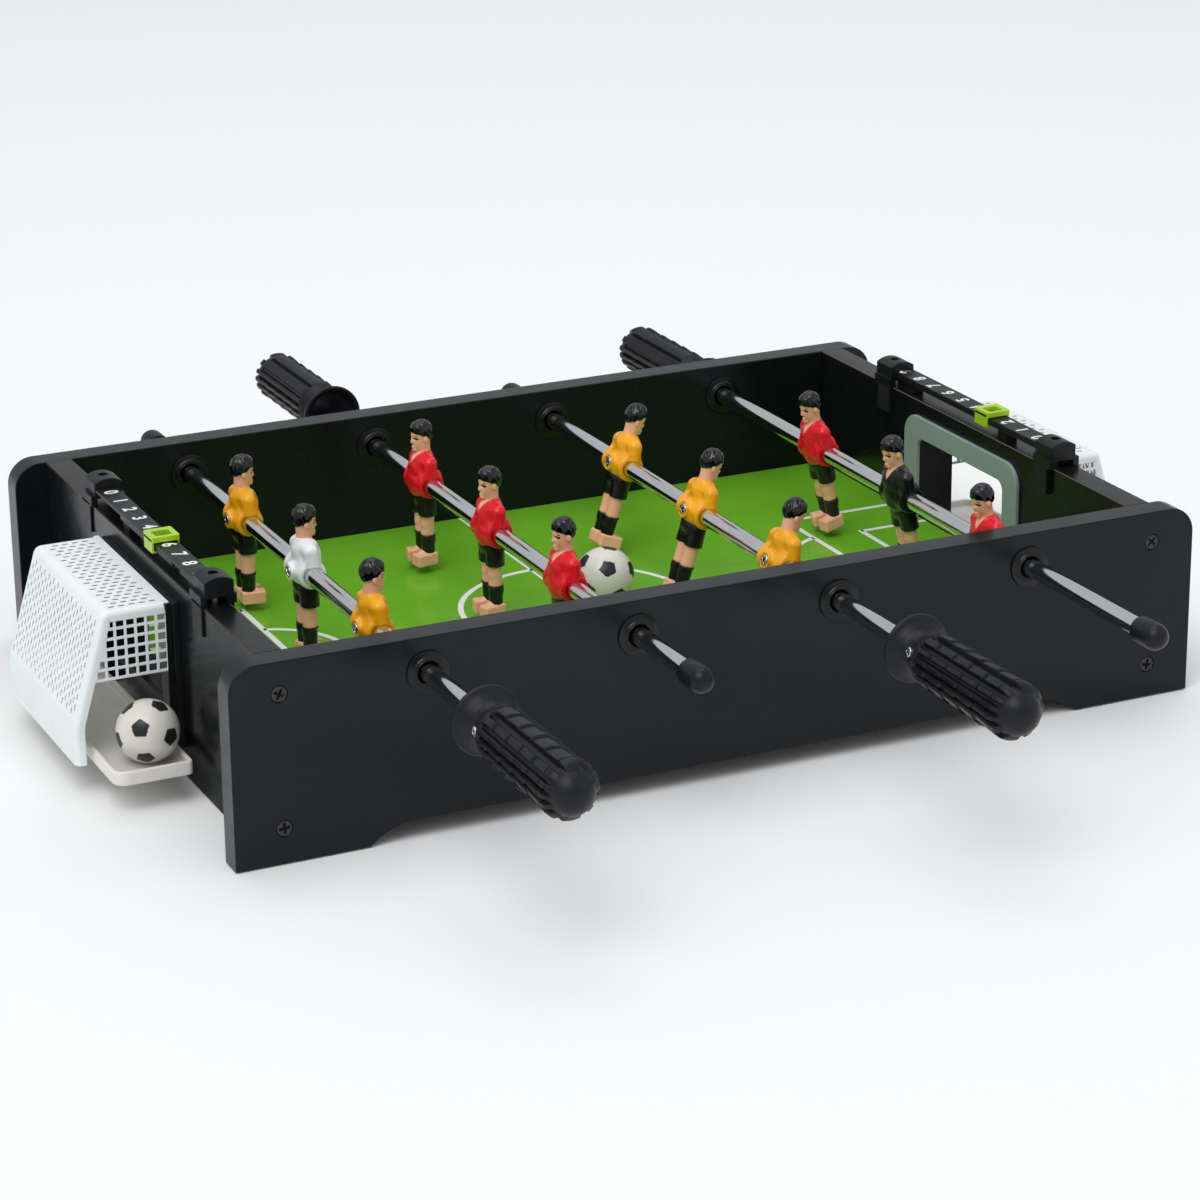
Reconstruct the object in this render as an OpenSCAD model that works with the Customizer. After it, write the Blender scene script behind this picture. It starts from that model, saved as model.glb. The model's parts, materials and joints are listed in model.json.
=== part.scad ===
// Tabletop foosball table: two side panels, two end panels, four sliding and
// spinning rods with twelve figures, goals with nets and ball trays, and
// abacus-style goal counters. Millimetres, +Z up, X along the side panels,
// Y along the rods. The origin is the centre of the footprint, on the floor.

/* [Cabinet] */
// Length of the side panels, along X
panel_l = 444; // [430:1:460]
// Width over the two side panels, along Y
table_w = 300; // [290:1:310]
// Height of the panels' top edges
panel_h = 85.3; // [83:0.1:88]
// Thickness of a side panel
side_t = 12.5; // [10:0.5:14]
// Thickness of an end panel
end_t = 12; // [10:0.5:12]
// Distance from a side panel's end to the end panel's outer face
end_inset = 15; // [14:0.5:18]
// Radius of a side panel's top corners
corner_r = 12; // [6:0.5:14]
// Height of the arch between a side panel's feet
arch_h = 7.7; // [5:0.1:9]
// Half of the clear length between the feet
arch_half = 165; // [140:1:175]
// Height of the playing surface
field_z = 27.4; // [26:0.1:29]
// Thickness of the playfield board
board_t = 3; // [2.5:0.1:4]

/* [Rods] */
// Distance between neighbouring rods
rod_pitch = 92.5; // [90:0.5:95]
// Height of the rods' axes
rod_z = 70.4; // [69.5:0.1:71.5]
// Radius of a rod
rod_r = 4; // [3.5:0.1:4]
// Wall of the rod's tube
rod_wall = 1; // [0.8:0.1:1.2]
// Radial running clearance of a rod in its bushings and end cap
run_gap = 0.06; // [0.03:0.01:0.1]
// Distance between the figures on a rod
figure_pitch = 78; // [76:0.5:79]
// From the rod's middle figure to the handle's flange
flange_at = 193.5; // [192:0.5:196]
// From the rod's middle figure to the end cap's inner face
cap_at = 195; // [193:0.5:197]
// Where each rod's middle figure stands at rest, along Y
rod_shift = [-13.5, -1, -19.5, -40.5];
// Tilt of each rod's figures at rest, by the right-hand rule about +Y
rod_tilt = [0, 0, 17, -11];

/* [Goals] */
// Half of the goal mouth's width
mouth_half = 38.9; // [37:0.1:40]
// Height of the goal mouth's top above the floor
mouth_top = 67.8; // [66:0.1:69]
// Half of the net's width
net_half = 47.9; // [46:0.1:50]
// Height of the net's top
net_top = 78.3; // [76:0.1:80]
// Wall of the net and the ball tray
net_wall = 1.6; // [1.4:0.1:2]
// Radius of a ball
ball_r = 13.3; // [12:0.1:13.3]

/* [Hidden] */
$fn = 48;

eps = 0.01;
end_out = panel_l / 2 - end_inset;      // outer face of an end panel
end_in = end_out - end_t;               // inner face of an end panel
side_in = table_w / 2 - side_t;         // inner face of a side panel
rod_x = [-1.5 * rod_pitch, -0.5 * rod_pitch, 0.5 * rod_pitch, 1.5 * rod_pitch];
facing = [1, -1, 1, -1];                // which way along X each figure faces

arch_r = 30;                            // radius of the arch's round ends
arch_flat = arch_half - sqrt(2 * arch_r * arch_h - arch_h * arch_h);

// panel screws
screw_z = [14.9, 71.6];
screw_r = 1.75;
screw_head_r = 3.6;
screw_len = 38;

// bushings
bush_r = 7;                             // sleeve outside radius
bush_flange_r = 9;
bush_flange_t = 2;
bush_bore_r = rod_r + run_gap;

// goal sleeve, frame and net
sleeve_t = 1.6;                         // wall of the sleeve through the end panel
sleeve_flange_t = 6;
frame_t = 2;
frame_border = 12.2;
net_in = end_out + sleeve_flange_t;     // the net's open side, against the flange
net_top_out = 240;                      // outer X of the net's top
net_low_out = 254.5;                    // outer X of the net's straight lower part
net_knee_z = 30;
net_low_z = 13;
net_post = 6;                           // width of the posts at the net's outer corners
net_grid_z = 48.9;                      // lower edge of the net's side grids
grid_pitch = 4.35;
grid_hole = 3.1;
tray_floor_z = 15.2;
tray_low_z = 12.6;
tray_lip_z = 18.7;
tray_out = 246.6;                       // outer X of the ball pocket
pocket_end = 76.1;                      // the pocket's end, along Y
ball_gap = 0.3;
field_ball_at = [7.3, -4.4];
tray_ball_at = [-227, -60.3];

// counters
rail_z = 93;                            // top of the rail
rail_t = 2.9;
rail_w = 9.6;
web_w = 5.6;                            // parts that hold the rail up off the panel
post_y = 72.5;
post_l = 14;
post_top_z = 97.4;
post_w = 12.8;
post_in = 1.2;                          // a post's middle, inwards of the panel's
saddle_z = 89.8;                        // top of the wide foot of a post
clip_out = 1;                           // thickness of the leg outside the panel
clip_in = 2.6;                          // and inside it
clip_l = 11.5;
clip_low_z = 72.8;
slider_l = 12;
slider_gap = 0.3;
slider_t = 1;
slider_top_z = 96;
slider_y = [-10.6, -15.5];
lip_notch = [-48, -38];                 // breaks in the rail's outer lower edge
lip_recess = [31, 66];
lip_notch_t = 1.3;
rail_stop = [25.6, 33.7];

// handle, measured outward from its flange
handle_flange_r = 15;
grip_r = 12;
grip_from = 15;
grip_to = 75;
handle_len = 87;
handle_bore_to = 70;
handle_screw_at = 9;
cap_len = 16;
cap_r = 5.7;
cap_depth = 5;

// everything is moved along Y so that the origin is below the middle of the
// whole table, handles included
mid_shift = (rod_reach(0) - rod_reach(1)) / 2;

// figure, measured from the rod's axis with the figure facing +X
head_z = 24.6;
head_r = 4.9;
foot_low_z = -39.5;
foot_h = 6;
figure_boss_half = 10;
figure_screw_r = 1.1;
figure_screw_head_r = 1.9;

skin = [0.93, 0.72, 0.58];
yellow = [0.96, 0.7, 0.05];
red = [0.85, 0.08, 0.1];

// ---------- helpers ----------

// how far the handles reach on the front (0) or the back (1)
function rod_reach(back) = flange_at + handle_len + max(back == 0
    ? [-rod_shift[0], -rod_shift[2]]
    : [rod_shift[1], rod_shift[3]]);

module place() {
    translate([0, mid_shift, 0])
        children();
}

// a cylinder along +Y, starting at y0
module along_y(r, y0, y1, r2 = -1) {
    translate([0, y0, 0])
        rotate([-90, 0, 0])
            cylinder(h = y1 - y0, r1 = r, r2 = r2 < 0 ? r : r2);
}

// a flat outline in the YZ plane, thickened from x0 to x1
module slab_x(x0, x1) {
    translate([x0, 0, 0])
        rotate([90, 0, 90])
            linear_extrude(height = x1 - x0)
                children();
}

// places a piece of the left goal at either end: end is -1 (left) or 1 (right)
module at_end(end) {
    rotate([0, 0, end < 0 ? 0 : 180])
        children();
}

// an upright rectangle in (y, z) whose two top corners are round
module arched(half_w, low, top, r) {
    difference() {
        union() {
            translate([-half_w, low])
                square([2 * half_w, top - low - r]);
            translate([-half_w + r, low])
                square([2 * half_w - 2 * r, top - low]);
            for (s = [-1, 1])
                translate([s * (half_w - r), top - r])
                    circle(r);
        }
    }
}

// carries rod i's pieces from its own frame (axis on Y, figures facing +X)
module on_rod(i) {
    translate([rod_x[i], rod_shift[i], rod_z])
        rotate([0, rod_tilt[i], 0])
            rotate([0, 0, facing[i] > 0 ? 0 : 180])
                children();
}

// the same, with +Y running outward along the handle's side; a figure
// facing +X has its handle on -Y, so both frames share one half turn
module toward_handle(i) {
    on_rod(i)
        rotate([0, 0, 180])
            children();
}

// ---------- cabinet ----------

module side_outline() {
    difference() {
        union() {
            translate([-panel_l / 2, 0])
                square([panel_l, panel_h - corner_r]);
            translate([-panel_l / 2 + corner_r, 0])
                square([panel_l - 2 * corner_r, panel_h]);
            for (s = [-1, 1])
                translate([s * (panel_l / 2 - corner_r), panel_h - corner_r])
                    circle(corner_r);
        }
        // arch between the feet, whose ends curve down in a round
        translate([-arch_flat, -1])
            square([2 * arch_flat, arch_h + 1]);
        for (s = [-1, 1])
            intersection() {
                translate([s * arch_flat, arch_h - arch_r])
                    circle(arch_r);
                translate([s * arch_flat - arch_r, -1])
                    square([2 * arch_r, arch_h + 1]);
            }
    }
}

// front panel's solid: outer face on -Y
module side_panel() {
    difference() {
        translate([0, -side_in, 0])
            rotate([90, 0, 0])
                linear_extrude(height = side_t)
                    side_outline();
        for (x = rod_x)
            translate([x, 0, rod_z])
                along_y(bush_r, -table_w / 2 - 1, -side_in + 1);
        for (x = [-1, 1] * (end_out - end_t / 2), z = screw_z)
            translate([x, 0, z]) {
                along_y(screw_r, -table_w / 2 - 1, -side_in + 1);
                along_y(screw_head_r, -table_w / 2 - eps, -table_w / 2 + screw_head_r - screw_r, screw_r);
            }
    }
}

module side_panel_front() {
    color([0.16, 0.16, 0.17])
        side_panel();
}

module side_panel_back() {
    color([0.16, 0.16, 0.17])
        rotate([0, 0, 180])
            side_panel();
}

module end_panel() {
    difference() {
        translate([-end_out, -side_in, 0])
            cube([end_t, 2 * side_in, panel_h]);
        slab_x(-end_out - 1, -end_in + 1)
            arched(mouth_half + sleeve_t, field_z - sleeve_t, mouth_top + sleeve_t, 6);
        for (s = [-1, 1], z = screw_z)
            translate([-end_out + end_t / 2, 0, z])
                along_y(screw_r, s > 0 ? side_in - 26 : -side_in - 1, s > 0 ? side_in + 1 : -side_in + 26);
        for (y = [-1, 1] * (net_half - 4.5), z = [20, 73])
            translate([-end_out + end_t / 2, y, z])
                rotate([0, -90, 0])
                    cylinder(h = end_t, r = 1, $fn = 24);
    }
}

module end_panel_left() {
    color([0.2, 0.2, 0.2])
        at_end(-1)
            end_panel();
}

module end_panel_right() {
    color([0.2, 0.2, 0.2])
        at_end(1)
            end_panel();
}

module playfield_board() {
    color([0.55, 0.4, 0.26])
        translate([-end_in, -side_in, field_z - board_t])
            cube([2 * end_in, 2 * side_in, board_t - 0.2]);
}

module playfield_sheet() {
    color([0.42, 0.72, 0.2])
        translate([-end_in, -side_in, field_z - 0.2])
            cube([2 * end_in, 2 * side_in, 0.2]);
}

module board_battens() {
    color([0.75, 0.6, 0.4])
        for (s = [-1, 1])
            translate([-end_in, s * (side_in - 5) - 5, field_z - board_t - 10])
                cube([2 * end_in, 10, 10]);
}

// countersunk cross-head screw along +Y from its head's face at y = 0
module panel_screw() {
    difference() {
        union() {
            along_y(screw_r, 0, screw_len);
            along_y(screw_head_r, 0, screw_head_r - screw_r, screw_r);
        }
        for (a = [0, 90])
            rotate([0, a, 0])
                translate([-1.8, -1, -0.4])
                    cube([3.6, 2.2, 0.8]);
    }
}

module panel_screws() {
    color([0.25, 0.25, 0.26])
        for (x = [-1, 1] * (end_out - end_t / 2), z = screw_z)
            translate([x, -table_w / 2, z])
                panel_screw();
}

module panel_screws_front() {
    panel_screws();
}

module panel_screws_back() {
    rotate([0, 0, 180])
        panel_screws();
}

// ---------- bushings ----------

// flanged sleeve pushed into the panel from outside, lip round the bore
module bushing() {
    difference() {
        union() {
            along_y(bush_r, -table_w / 2, -side_in);
            along_y(bush_flange_r, -table_w / 2 - bush_flange_t * 0.6, -table_w / 2);
            along_y(6.4, -table_w / 2 - bush_flange_t, -table_w / 2);
        }
        along_y(bush_bore_r, -table_w / 2 - 5, -side_in + 5);
    }
}

module bushing_ring() {
    difference() {
        union() {
            along_y(bush_flange_r, -side_in, -side_in + bush_flange_t * 0.6);
            along_y(6.4, -side_in, -side_in + bush_flange_t);
        }
        along_y(bush_bore_r, -side_in - 5, -side_in + 5);
    }
}

module each_rod_hole() {
    for (x = rod_x)
        translate([x, 0, rod_z])
            children();
}

module bushings_front() {
    color([0.12, 0.12, 0.12])
        each_rod_hole()
            bushing();
}

module bushings_back() {
    color([0.12, 0.12, 0.12])
        rotate([0, 0, 180])
            each_rod_hole()
                bushing();
}

module bushing_rings_front() {
    color([0.12, 0.12, 0.12])
        each_rod_hole()
            bushing_ring();
}

module bushing_rings_back() {
    color([0.12, 0.12, 0.12])
        rotate([0, 0, 180])
            each_rod_hole()
                bushing_ring();
}

// ---------- goals (drawn at the left end) ----------

// flat border round the goal mouth on the end panel's inner face
module goal_frame() {
    color([0.6, 0.67, 0.63])
        slab_x(-end_in, -end_in + frame_t)
            difference() {
                arched(mouth_half + frame_border, field_z, mouth_top + frame_border - 1.8, 10.5);
                arched(mouth_half, field_z - 1, mouth_top, 5);
            }
}

module goal_frame_left() {
    at_end(-1)
        goal_frame();
}

module goal_frame_right() {
    at_end(1)
        goal_frame();
}

// sleeve through the end panel with a thick outer flange that carries the net
module goal_sleeve() {
    color([0.1, 0.1, 0.1])
        difference() {
            union() {
                slab_x(-end_out, -end_in)
                    arched(mouth_half + sleeve_t, field_z - sleeve_t, mouth_top + sleeve_t, 6);
                slab_x(-net_in, -end_out)
                    arched(net_half, net_low_z, net_top, 2);
            }
            slab_x(-net_in - 1, -end_in + 1)
                arched(mouth_half, field_z, mouth_top, 5);
            // the flange is open below the mouth, where the ball drops to the tray
            slab_x(-net_in - 1, -end_out - 2)
                translate([-mouth_half, tray_floor_z])
                    square([2 * mouth_half, field_z - tray_floor_z + 1]);
            for (y = [-1, 1] * (net_half - 4.5), z = [20, 73])
                translate([-end_out + 1, y, z])
                    rotate([0, -90, 0])
                        cylinder(h = sleeve_flange_t + 2, r = 1, $fn = 24);
        }
}

module goal_sleeve_left() {
    at_end(-1)
        goal_sleeve();
}

module goal_sleeve_right() {
    at_end(1)
        goal_sleeve();
}

// side view of the net in (x, z), shrunk by d all round
module net_profile(d) {
    polygon([[-net_in + (d > 0 ? 1 : 0), net_top - d],
             [-net_top_out + d * 0.9, net_top - d],
             [-net_low_out + d, net_knee_z],
             [-net_low_out + d, net_low_z - (d > 0 ? 1 : 0)],
             [-net_in + (d > 0 ? 1 : 0), net_low_z - (d > 0 ? 1 : 0)]]);
}

module net_body(d, half) {
    translate([0, half, 0])
        rotate([90, 0, 0])
            linear_extrude(height = 2 * half)
                net_profile(d);
}

// outer X of the net's back at a height
function net_back(z) = z < net_knee_z ? net_low_out
    : net_low_out - (z - net_knee_z) * (net_low_out - net_top_out) / (net_top - net_knee_z);

module goal_net() {
    top_rows = 16;
    back_rows = 9;
    back_cols = 12;
    color([0.95, 0.95, 0.95])
        difference() {
            net_body(0, net_half);
            net_body(net_wall, net_half - net_wall);
            // open below the side grids
            translate([0, net_half + 1, 0])
                rotate([90, 0, 0])
                    linear_extrude(height = 2 * net_half + 2)
                        polygon([[-net_in + 1, net_low_z - 1], [-net_in + 1, net_grid_z],
                                 [-net_back(net_grid_z) + net_post, net_grid_z],
                                 [-net_low_out + net_post, net_knee_z],
                                 [-net_low_out + net_post, net_low_z - 1]]);
            // side grids
            for (i = [0:5], j = [0:5])
                if (net_back(net_grid_z + 2 + j * grid_pitch) - 4 > net_in + 1.5 + i * grid_pitch + grid_hole)
                    translate([-net_in - 1.3 - i * grid_pitch - grid_hole, -net_half - 1,
                               net_grid_z + 1.6 + j * grid_pitch])
                        cube([grid_hole, 2 * net_half + 2, grid_hole]);
            // slots in the top
            for (i = [0:3], j = [0:top_rows - 1])
                translate([-net_in - 4.5 - i * 5.2 - (j % 2) * 1.6, -38.5 + j * 5, net_top - 3])
                    cube([2.6, 1, 5]);
            // slots in the sloping back
            for (i = [0:back_rows - 1], j = [0:back_cols - 1])
                translate([-net_back(net_top - 9 - i * 4.6) - 3, -38.5 + j * 6.9 + (i % 2) * 1.6,
                           net_top - 11 - i * 4.6])
                    cube([6, 1, 2.6]);
        }
}

module goal_net_left() {
    at_end(-1)
        goal_net();
}

module goal_net_right() {
    at_end(1)
        goal_net();
}

// trough under the net that ends in an open pocket beside it
module ball_tray() {
    color([0.86, 0.84, 0.8])
        difference() {
            union() {
                translate([-tray_out, -pocket_end, tray_low_z])
                    cube([tray_out - net_in, pocket_end + net_half - net_wall, tray_floor_z - tray_low_z]);
                // lips round the pocket, low rim along the end panel and outer wall
                difference() {
                    translate([-tray_out, -pocket_end, tray_low_z])
                        cube([tray_out - net_in, pocket_end - net_half, tray_lip_z - tray_low_z]);
                    translate([-tray_out + 2, -pocket_end + 2, tray_floor_z])
                        cube([tray_out - net_in - 3, pocket_end - net_half, 9]);
                }
                translate([-tray_out, -net_half, tray_floor_z])
                    cube([2, 2 * net_half - net_wall, tray_lip_z - tray_floor_z]);
                translate([-tray_out, net_half - net_wall - 2, tray_floor_z])
                    cube([tray_out - net_in, 2, tray_lip_z - tray_floor_z]);
            }
            for (y = [-pocket_end])
                translate([-tray_out, y, tray_low_z - 1])
                    difference() {
                        translate([-1, -1, 0])
                            cube([6, 6, 20]);
                        translate([5, 5, -1])
                            cylinder(h = 22, r = 5);
                    }
        }
}

module ball_tray_left() {
    at_end(-1)
        ball_tray();
}

module ball_tray_right() {
    at_end(1)
        ball_tray();
}

// screws through the sleeve's flange into the end panel
module goal_screws() {
    color("silver")
        for (e = [-1, 1])
            at_end(e)
                for (y = [-1, 1] * (net_half - 4.5), z = [20, 73])
                    translate([-end_out + end_t / 2, y, z])
                        rotate([0, -90, 0])
                            cylinder(h = end_t / 2 + sleeve_flange_t, r = 1, $fn = 24);
}

// ---------- counters (drawn at the left end) ----------

module counter_rail() {
    mid = -end_out + end_t / 2;
    color([0.13, 0.13, 0.13])
        difference() {
            union() {
                translate([mid - rail_w / 2, -post_y, rail_z - rail_t])
                    cube([rail_w, 2 * post_y, rail_t]);
                translate([mid - web_w / 2, -post_y, panel_h])
                    cube([web_w, post_y - 52, rail_z - panel_h - 1]);
                translate([mid - web_w / 2, rail_stop[0], panel_h])
                    cube([web_w, rail_stop[1] - rail_stop[0], rail_z - panel_h - 1]);
                for (s = [-1, 1])
                    translate([mid, s * post_y, 0])
                        counter_post(s);
            }
            for (s = [-1, 1])
                translate([mid + post_in, s * post_y, post_top_z - 4])
                    cylinder(h = 10, r = 2.2);
            for (gap = [lip_notch, lip_recess])
                translate([mid - rail_w, gap[0], rail_z - rail_t - 1])
                    cube([rail_w / 2 + lip_notch_t, min(gap[1], post_y - post_l / 2) - gap[0], 2.6]);
        }
}

// arched post on a saddle that straddles the panel, with a leg down each face
module counter_post(s) {
    difference() {
        union() {
            translate([post_in, post_l / 2, 0])
                rotate([90, 0, 0])
                    linear_extrude(height = post_l)
                        intersection() {
                            translate([-post_w / 2, panel_h])
                                square([post_w, post_top_z - panel_h]);
                            translate([0, post_top_z - 11])
                                circle(r = 11);
                        }
            translate([-end_t / 2 - clip_out, -post_l / 2, panel_h])
                cube([end_t + clip_out + clip_in, post_l, saddle_z - panel_h]);
            translate([-end_t / 2 - clip_out, (s < 0 ? -post_l / 2 : post_l / 2 - clip_l), clip_low_z])
                cube([clip_out, clip_l, saddle_z - clip_low_z]);
            translate([end_t / 2, (s < 0 ? post_l / 2 - clip_l : -post_l / 2), clip_low_z])
                cube([clip_in, clip_l, saddle_z - clip_low_z]);
        }
        translate([-4, -post_l, panel_h])
            cube([8.6, 2 * post_l, 3.2]);
    }
}

module counter_rail_left() {
    at_end(-1)
        counter_rail();
}

module counter_rail_right() {
    at_end(1)
        counter_rail();
}

// clip round the rail, with a raised finger loop
module counter_slider(mid, y) {
    inner_w = rail_w + 2 * slider_gap;
    inner_low = rail_z - rail_t - slider_gap;
    inner_top = rail_z + slider_gap;
    lip = 1.3;
    color([0.74, 0.86, 0.22])
        translate([mid, y, 0])
            difference() {
                translate([-inner_w / 2 - slider_t, -slider_l / 2, inner_low - slider_t])
                    cube([inner_w + 2 * slider_t, slider_l, slider_top_z - inner_low + slider_t]);
                translate([-inner_w / 2, -slider_l, inner_low])
                    cube([inner_w, 2 * slider_l, inner_top - inner_low]);
                translate([-inner_w / 2 + lip, -slider_l, inner_low - 3])
                    cube([inner_w - 2 * lip, 2 * slider_l, 5]);
                translate([-3.9, -3.7, inner_top - 1])
                    cube([7.8, 7.4, 5]);
            }
}

module counter_slider_left() {
    counter_slider(-end_out + end_t / 2, slider_y[0]);
}

module counter_slider_right() {
    counter_slider(end_out - end_t / 2, slider_y[1]);
}

// ---------- rods, handles and caps ----------

// chrome tube with a cross hole for each figure's screw and the handle's
module rod(i) {
    color([0.8, 0.81, 0.83])
        toward_handle(i)
            difference() {
                along_y(rod_r, -cap_at - cap_depth, flange_at + handle_bore_to);
                along_y(rod_r - rod_wall, -cap_at - cap_depth - 1, flange_at + handle_bore_to + 1);
                for (y = [-1, 0, 1] * figure_pitch)
                    translate([0, y, 0])
                        rotate([0, 90, 0])
                            cylinder(h = rod_r + 1, r = figure_screw_r, $fn = 24);
                translate([0, flange_at + handle_screw_at, 0])
                    rotate([0, 90, 0])
                        cylinder(h = rod_r + 1, r = figure_screw_r, $fn = 24);
            }
}

// grip's cross-section: a ring of ribs round a core
module grip_section() {
    ribs = 14;
    difference() {
        circle(r = grip_r);
        for (k = [0:ribs - 1])
            rotate(360 / ribs * (k + 0.5))
                translate([grip_r, 0])
                    circle(r = 1.1, $fn = 24);
    }
}

module handle(i) {
    color([0.17, 0.17, 0.18])
        toward_handle(i)
            translate([0, flange_at, 0])
                difference() {
                    union() {
                        // flange and trumpet neck
                        rotate([-90, 0, 0])
                            rotate_extrude()
                                polygon([[0, 0], [handle_flange_r - 0.8, 0], [handle_flange_r, 0.8],
                                         [handle_flange_r, 1.8], [handle_flange_r - 2, 3.4], [9.6, 7],
                                         [8, 10], [8, 13], [10, grip_from], [0, grip_from]]);
                        rotate([-90, 0, 0])
                            translate([0, 0, grip_from])
                                linear_extrude(height = grip_to - grip_from)
                                    grip_section();
                        translate([0, grip_to, 0])
                            sphere(r = grip_r);
                    }
                    // dish in the flange's inner face
                    along_y(12.6, -1, 3.4, 8);
                    along_y(rod_r, -1, handle_bore_to);
                    translate([0, handle_screw_at, 0])
                        rotate([0, 90, 0])
                            cylinder(h = 20, r = figure_screw_r, $fn = 24);
                    translate([6.9, handle_screw_at, 0])
                        rotate([0, 90, 0])
                            cylinder(h = 20, r = figure_screw_head_r, $fn = 24);
                }
}

module end_cap(i) {
    color([0.12, 0.12, 0.13])
        toward_handle(i)
            difference() {
                rotate([90, 0, 0])
                    translate([0, 0, cap_at])
                        rotate_extrude()
                            union() {
                                square([cap_r, cap_len - cap_r]);
                                translate([0, cap_len - cap_r])
                                    intersection() {
                                        circle(r = cap_r);
                                        square(cap_r);
                                    }
                            }
                along_y(rod_r + run_gap, -cap_at - cap_depth - 0.3, -cap_at + 1);
            }
}

// cross-head screw whose shank enters the rod: head's face at x = reach
module rod_screw(reach) {
    difference() {
        union() {
            translate([-reach, 0, 0])
                rotate([0, 90, 0])
                    cylinder(h = figure_screw_head_r * 0.6, r = figure_screw_head_r, $fn = 24);
            translate([-reach, 0, 0])
                rotate([0, 90, 0])
                    cylinder(h = reach - rod_r + rod_wall, r = figure_screw_r, $fn = 24);
        }
        for (a = [0, 90])
            rotate([a, 0, 0])
                translate([-reach - 1, -1.1, -0.25])
                    cube([1.6, 2.2, 0.5]);
    }
}

module rod_screws(i) {
    color([0.85, 0.85, 0.86])
        on_rod(i) {
            for (y = [-1, 0, 1] * figure_pitch)
                translate([0, y, 0])
                    rod_screw(8);
            translate([0, -flange_at - handle_screw_at, 0])
                rod_screw(8);
        }
}

// ---------- figures ----------

module figure(i, place, shirt) {
    on_rod(i)
        translate([0, place * figure_pitch, 0])
            difference() {
                union() {
                    color(shirt) {
                        // arms and chest
                        hull() {
                            for (s = [-1, 1])
                                translate([0.3, s * 6.6, 10.5])
                                    sphere(r = 4.2, $fn = 20);
                            for (s = [-1, 1])
                                translate([0, s * 8.4, 1])
                                    sphere(r = 3.6, $fn = 20);
                            translate([0, 0, 13.4])
                                sphere(r = 3.4, $fn = 20);
                        }
                        along_y(6.9, -figure_boss_half, figure_boss_half);
                        rotate([0, -90, 0])
                            cylinder(h = 7.6, r = 3.2);
                    }
                    color(skin) {
                        translate([0.6, 0, 12])
                            cylinder(h = 9, r = 3.1);
                        translate([0.9, 0, head_z])
                            sphere(r = head_r);
                        for (s = [-1, 1])
                            translate([0, s * 3.5, foot_low_z + foot_h - 1])
                                cylinder(h = 22, r = 3.3);
                        translate([0, 0, foot_low_z])
                            linear_extrude(height = foot_h)
                                polygon([[-3.6, -5], [7.6, -8.2], [5.6, 0], [7.6, 8.2], [-3.6, 5]]);
                    }
                    color([0.1, 0.1, 0.11])
                        translate([-4.6, -7.4, -15.2])
                            cube([9.2, 14.8, 10.5]);
                }
                along_y(rod_r, -20, 20);
                translate([-20, 0, 0])
                    rotate([0, 90, 0])
                        cylinder(h = 20, r = figure_screw_r, $fn = 24);
                translate([-20, 0, 0])
                    rotate([0, 90, 0])
                        cylinder(h = 20 - 8 + figure_screw_head_r * 0.6, r = figure_screw_head_r, $fn = 24);
            }
}

// ---------- balls ----------

module ball(x, y, floor_z) {
    color([0.92, 0.9, 0.87])
        translate([x, y, floor_z + ball_r + ball_gap])
            sphere(r = ball_r);
}

// figures in the order of NODES: [name, rod, place along the rod, shirt]; a rod that
// faces -X is turned half round, so its front figure is at place +1
FIGURES = [["figure_1_front", 0, -1, yellow], ["figure_1_keeper", 0, 0, [0.93, 0.93, 0.93]],
           ["figure_1_back", 0, 1, yellow],
           ["figure_2_front", 1, 1, red], ["figure_2_middle", 1, 0, red], ["figure_2_back", 1, -1, red],
           ["figure_3_front", 2, -1, yellow], ["figure_3_middle", 2, 0, yellow],
           ["figure_3_back", 2, 1, yellow],
           ["figure_4_front", 3, 1, red], ["figure_4_keeper", 3, 0, [0.13, 0.13, 0.14]],
           ["figure_4_back", 3, -1, red]];

place() side_panel_front();
place() side_panel_back();
place() end_panel_left();
place() end_panel_right();
place() playfield_board();
place() playfield_sheet();
place() board_battens();
place() panel_screws_front();
place() panel_screws_back();
place() bushings_front();
place() bushings_back();
place() bushing_rings_front();
place() bushing_rings_back();
place() goal_frame_left();
place() goal_frame_right();
place() goal_sleeve_left();
place() goal_sleeve_right();
place() goal_net_left();
place() goal_net_right();
place() ball_tray_left();
place() ball_tray_right();
place() goal_screws();
place() counter_rail_left();
place() counter_rail_right();
place() counter_slider_left();
place() counter_slider_right();
for (i = [0:3]) {
    place() rod(i);
    place() handle(i);
    place() end_cap(i);
    place() rod_screws(i);
}
for (f = FIGURES)
    place() figure(f[1], f[2], f[3]);
place() ball(field_ball_at[0], field_ball_at[1], field_z);  // field_ball
place() ball(tray_ball_at[0], tray_ball_at[1], tray_floor_z);  // tray_ball
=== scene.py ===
import json
import math

import bmesh
import bpy
import numpy as np
from mathutils import Matrix, Vector


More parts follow.
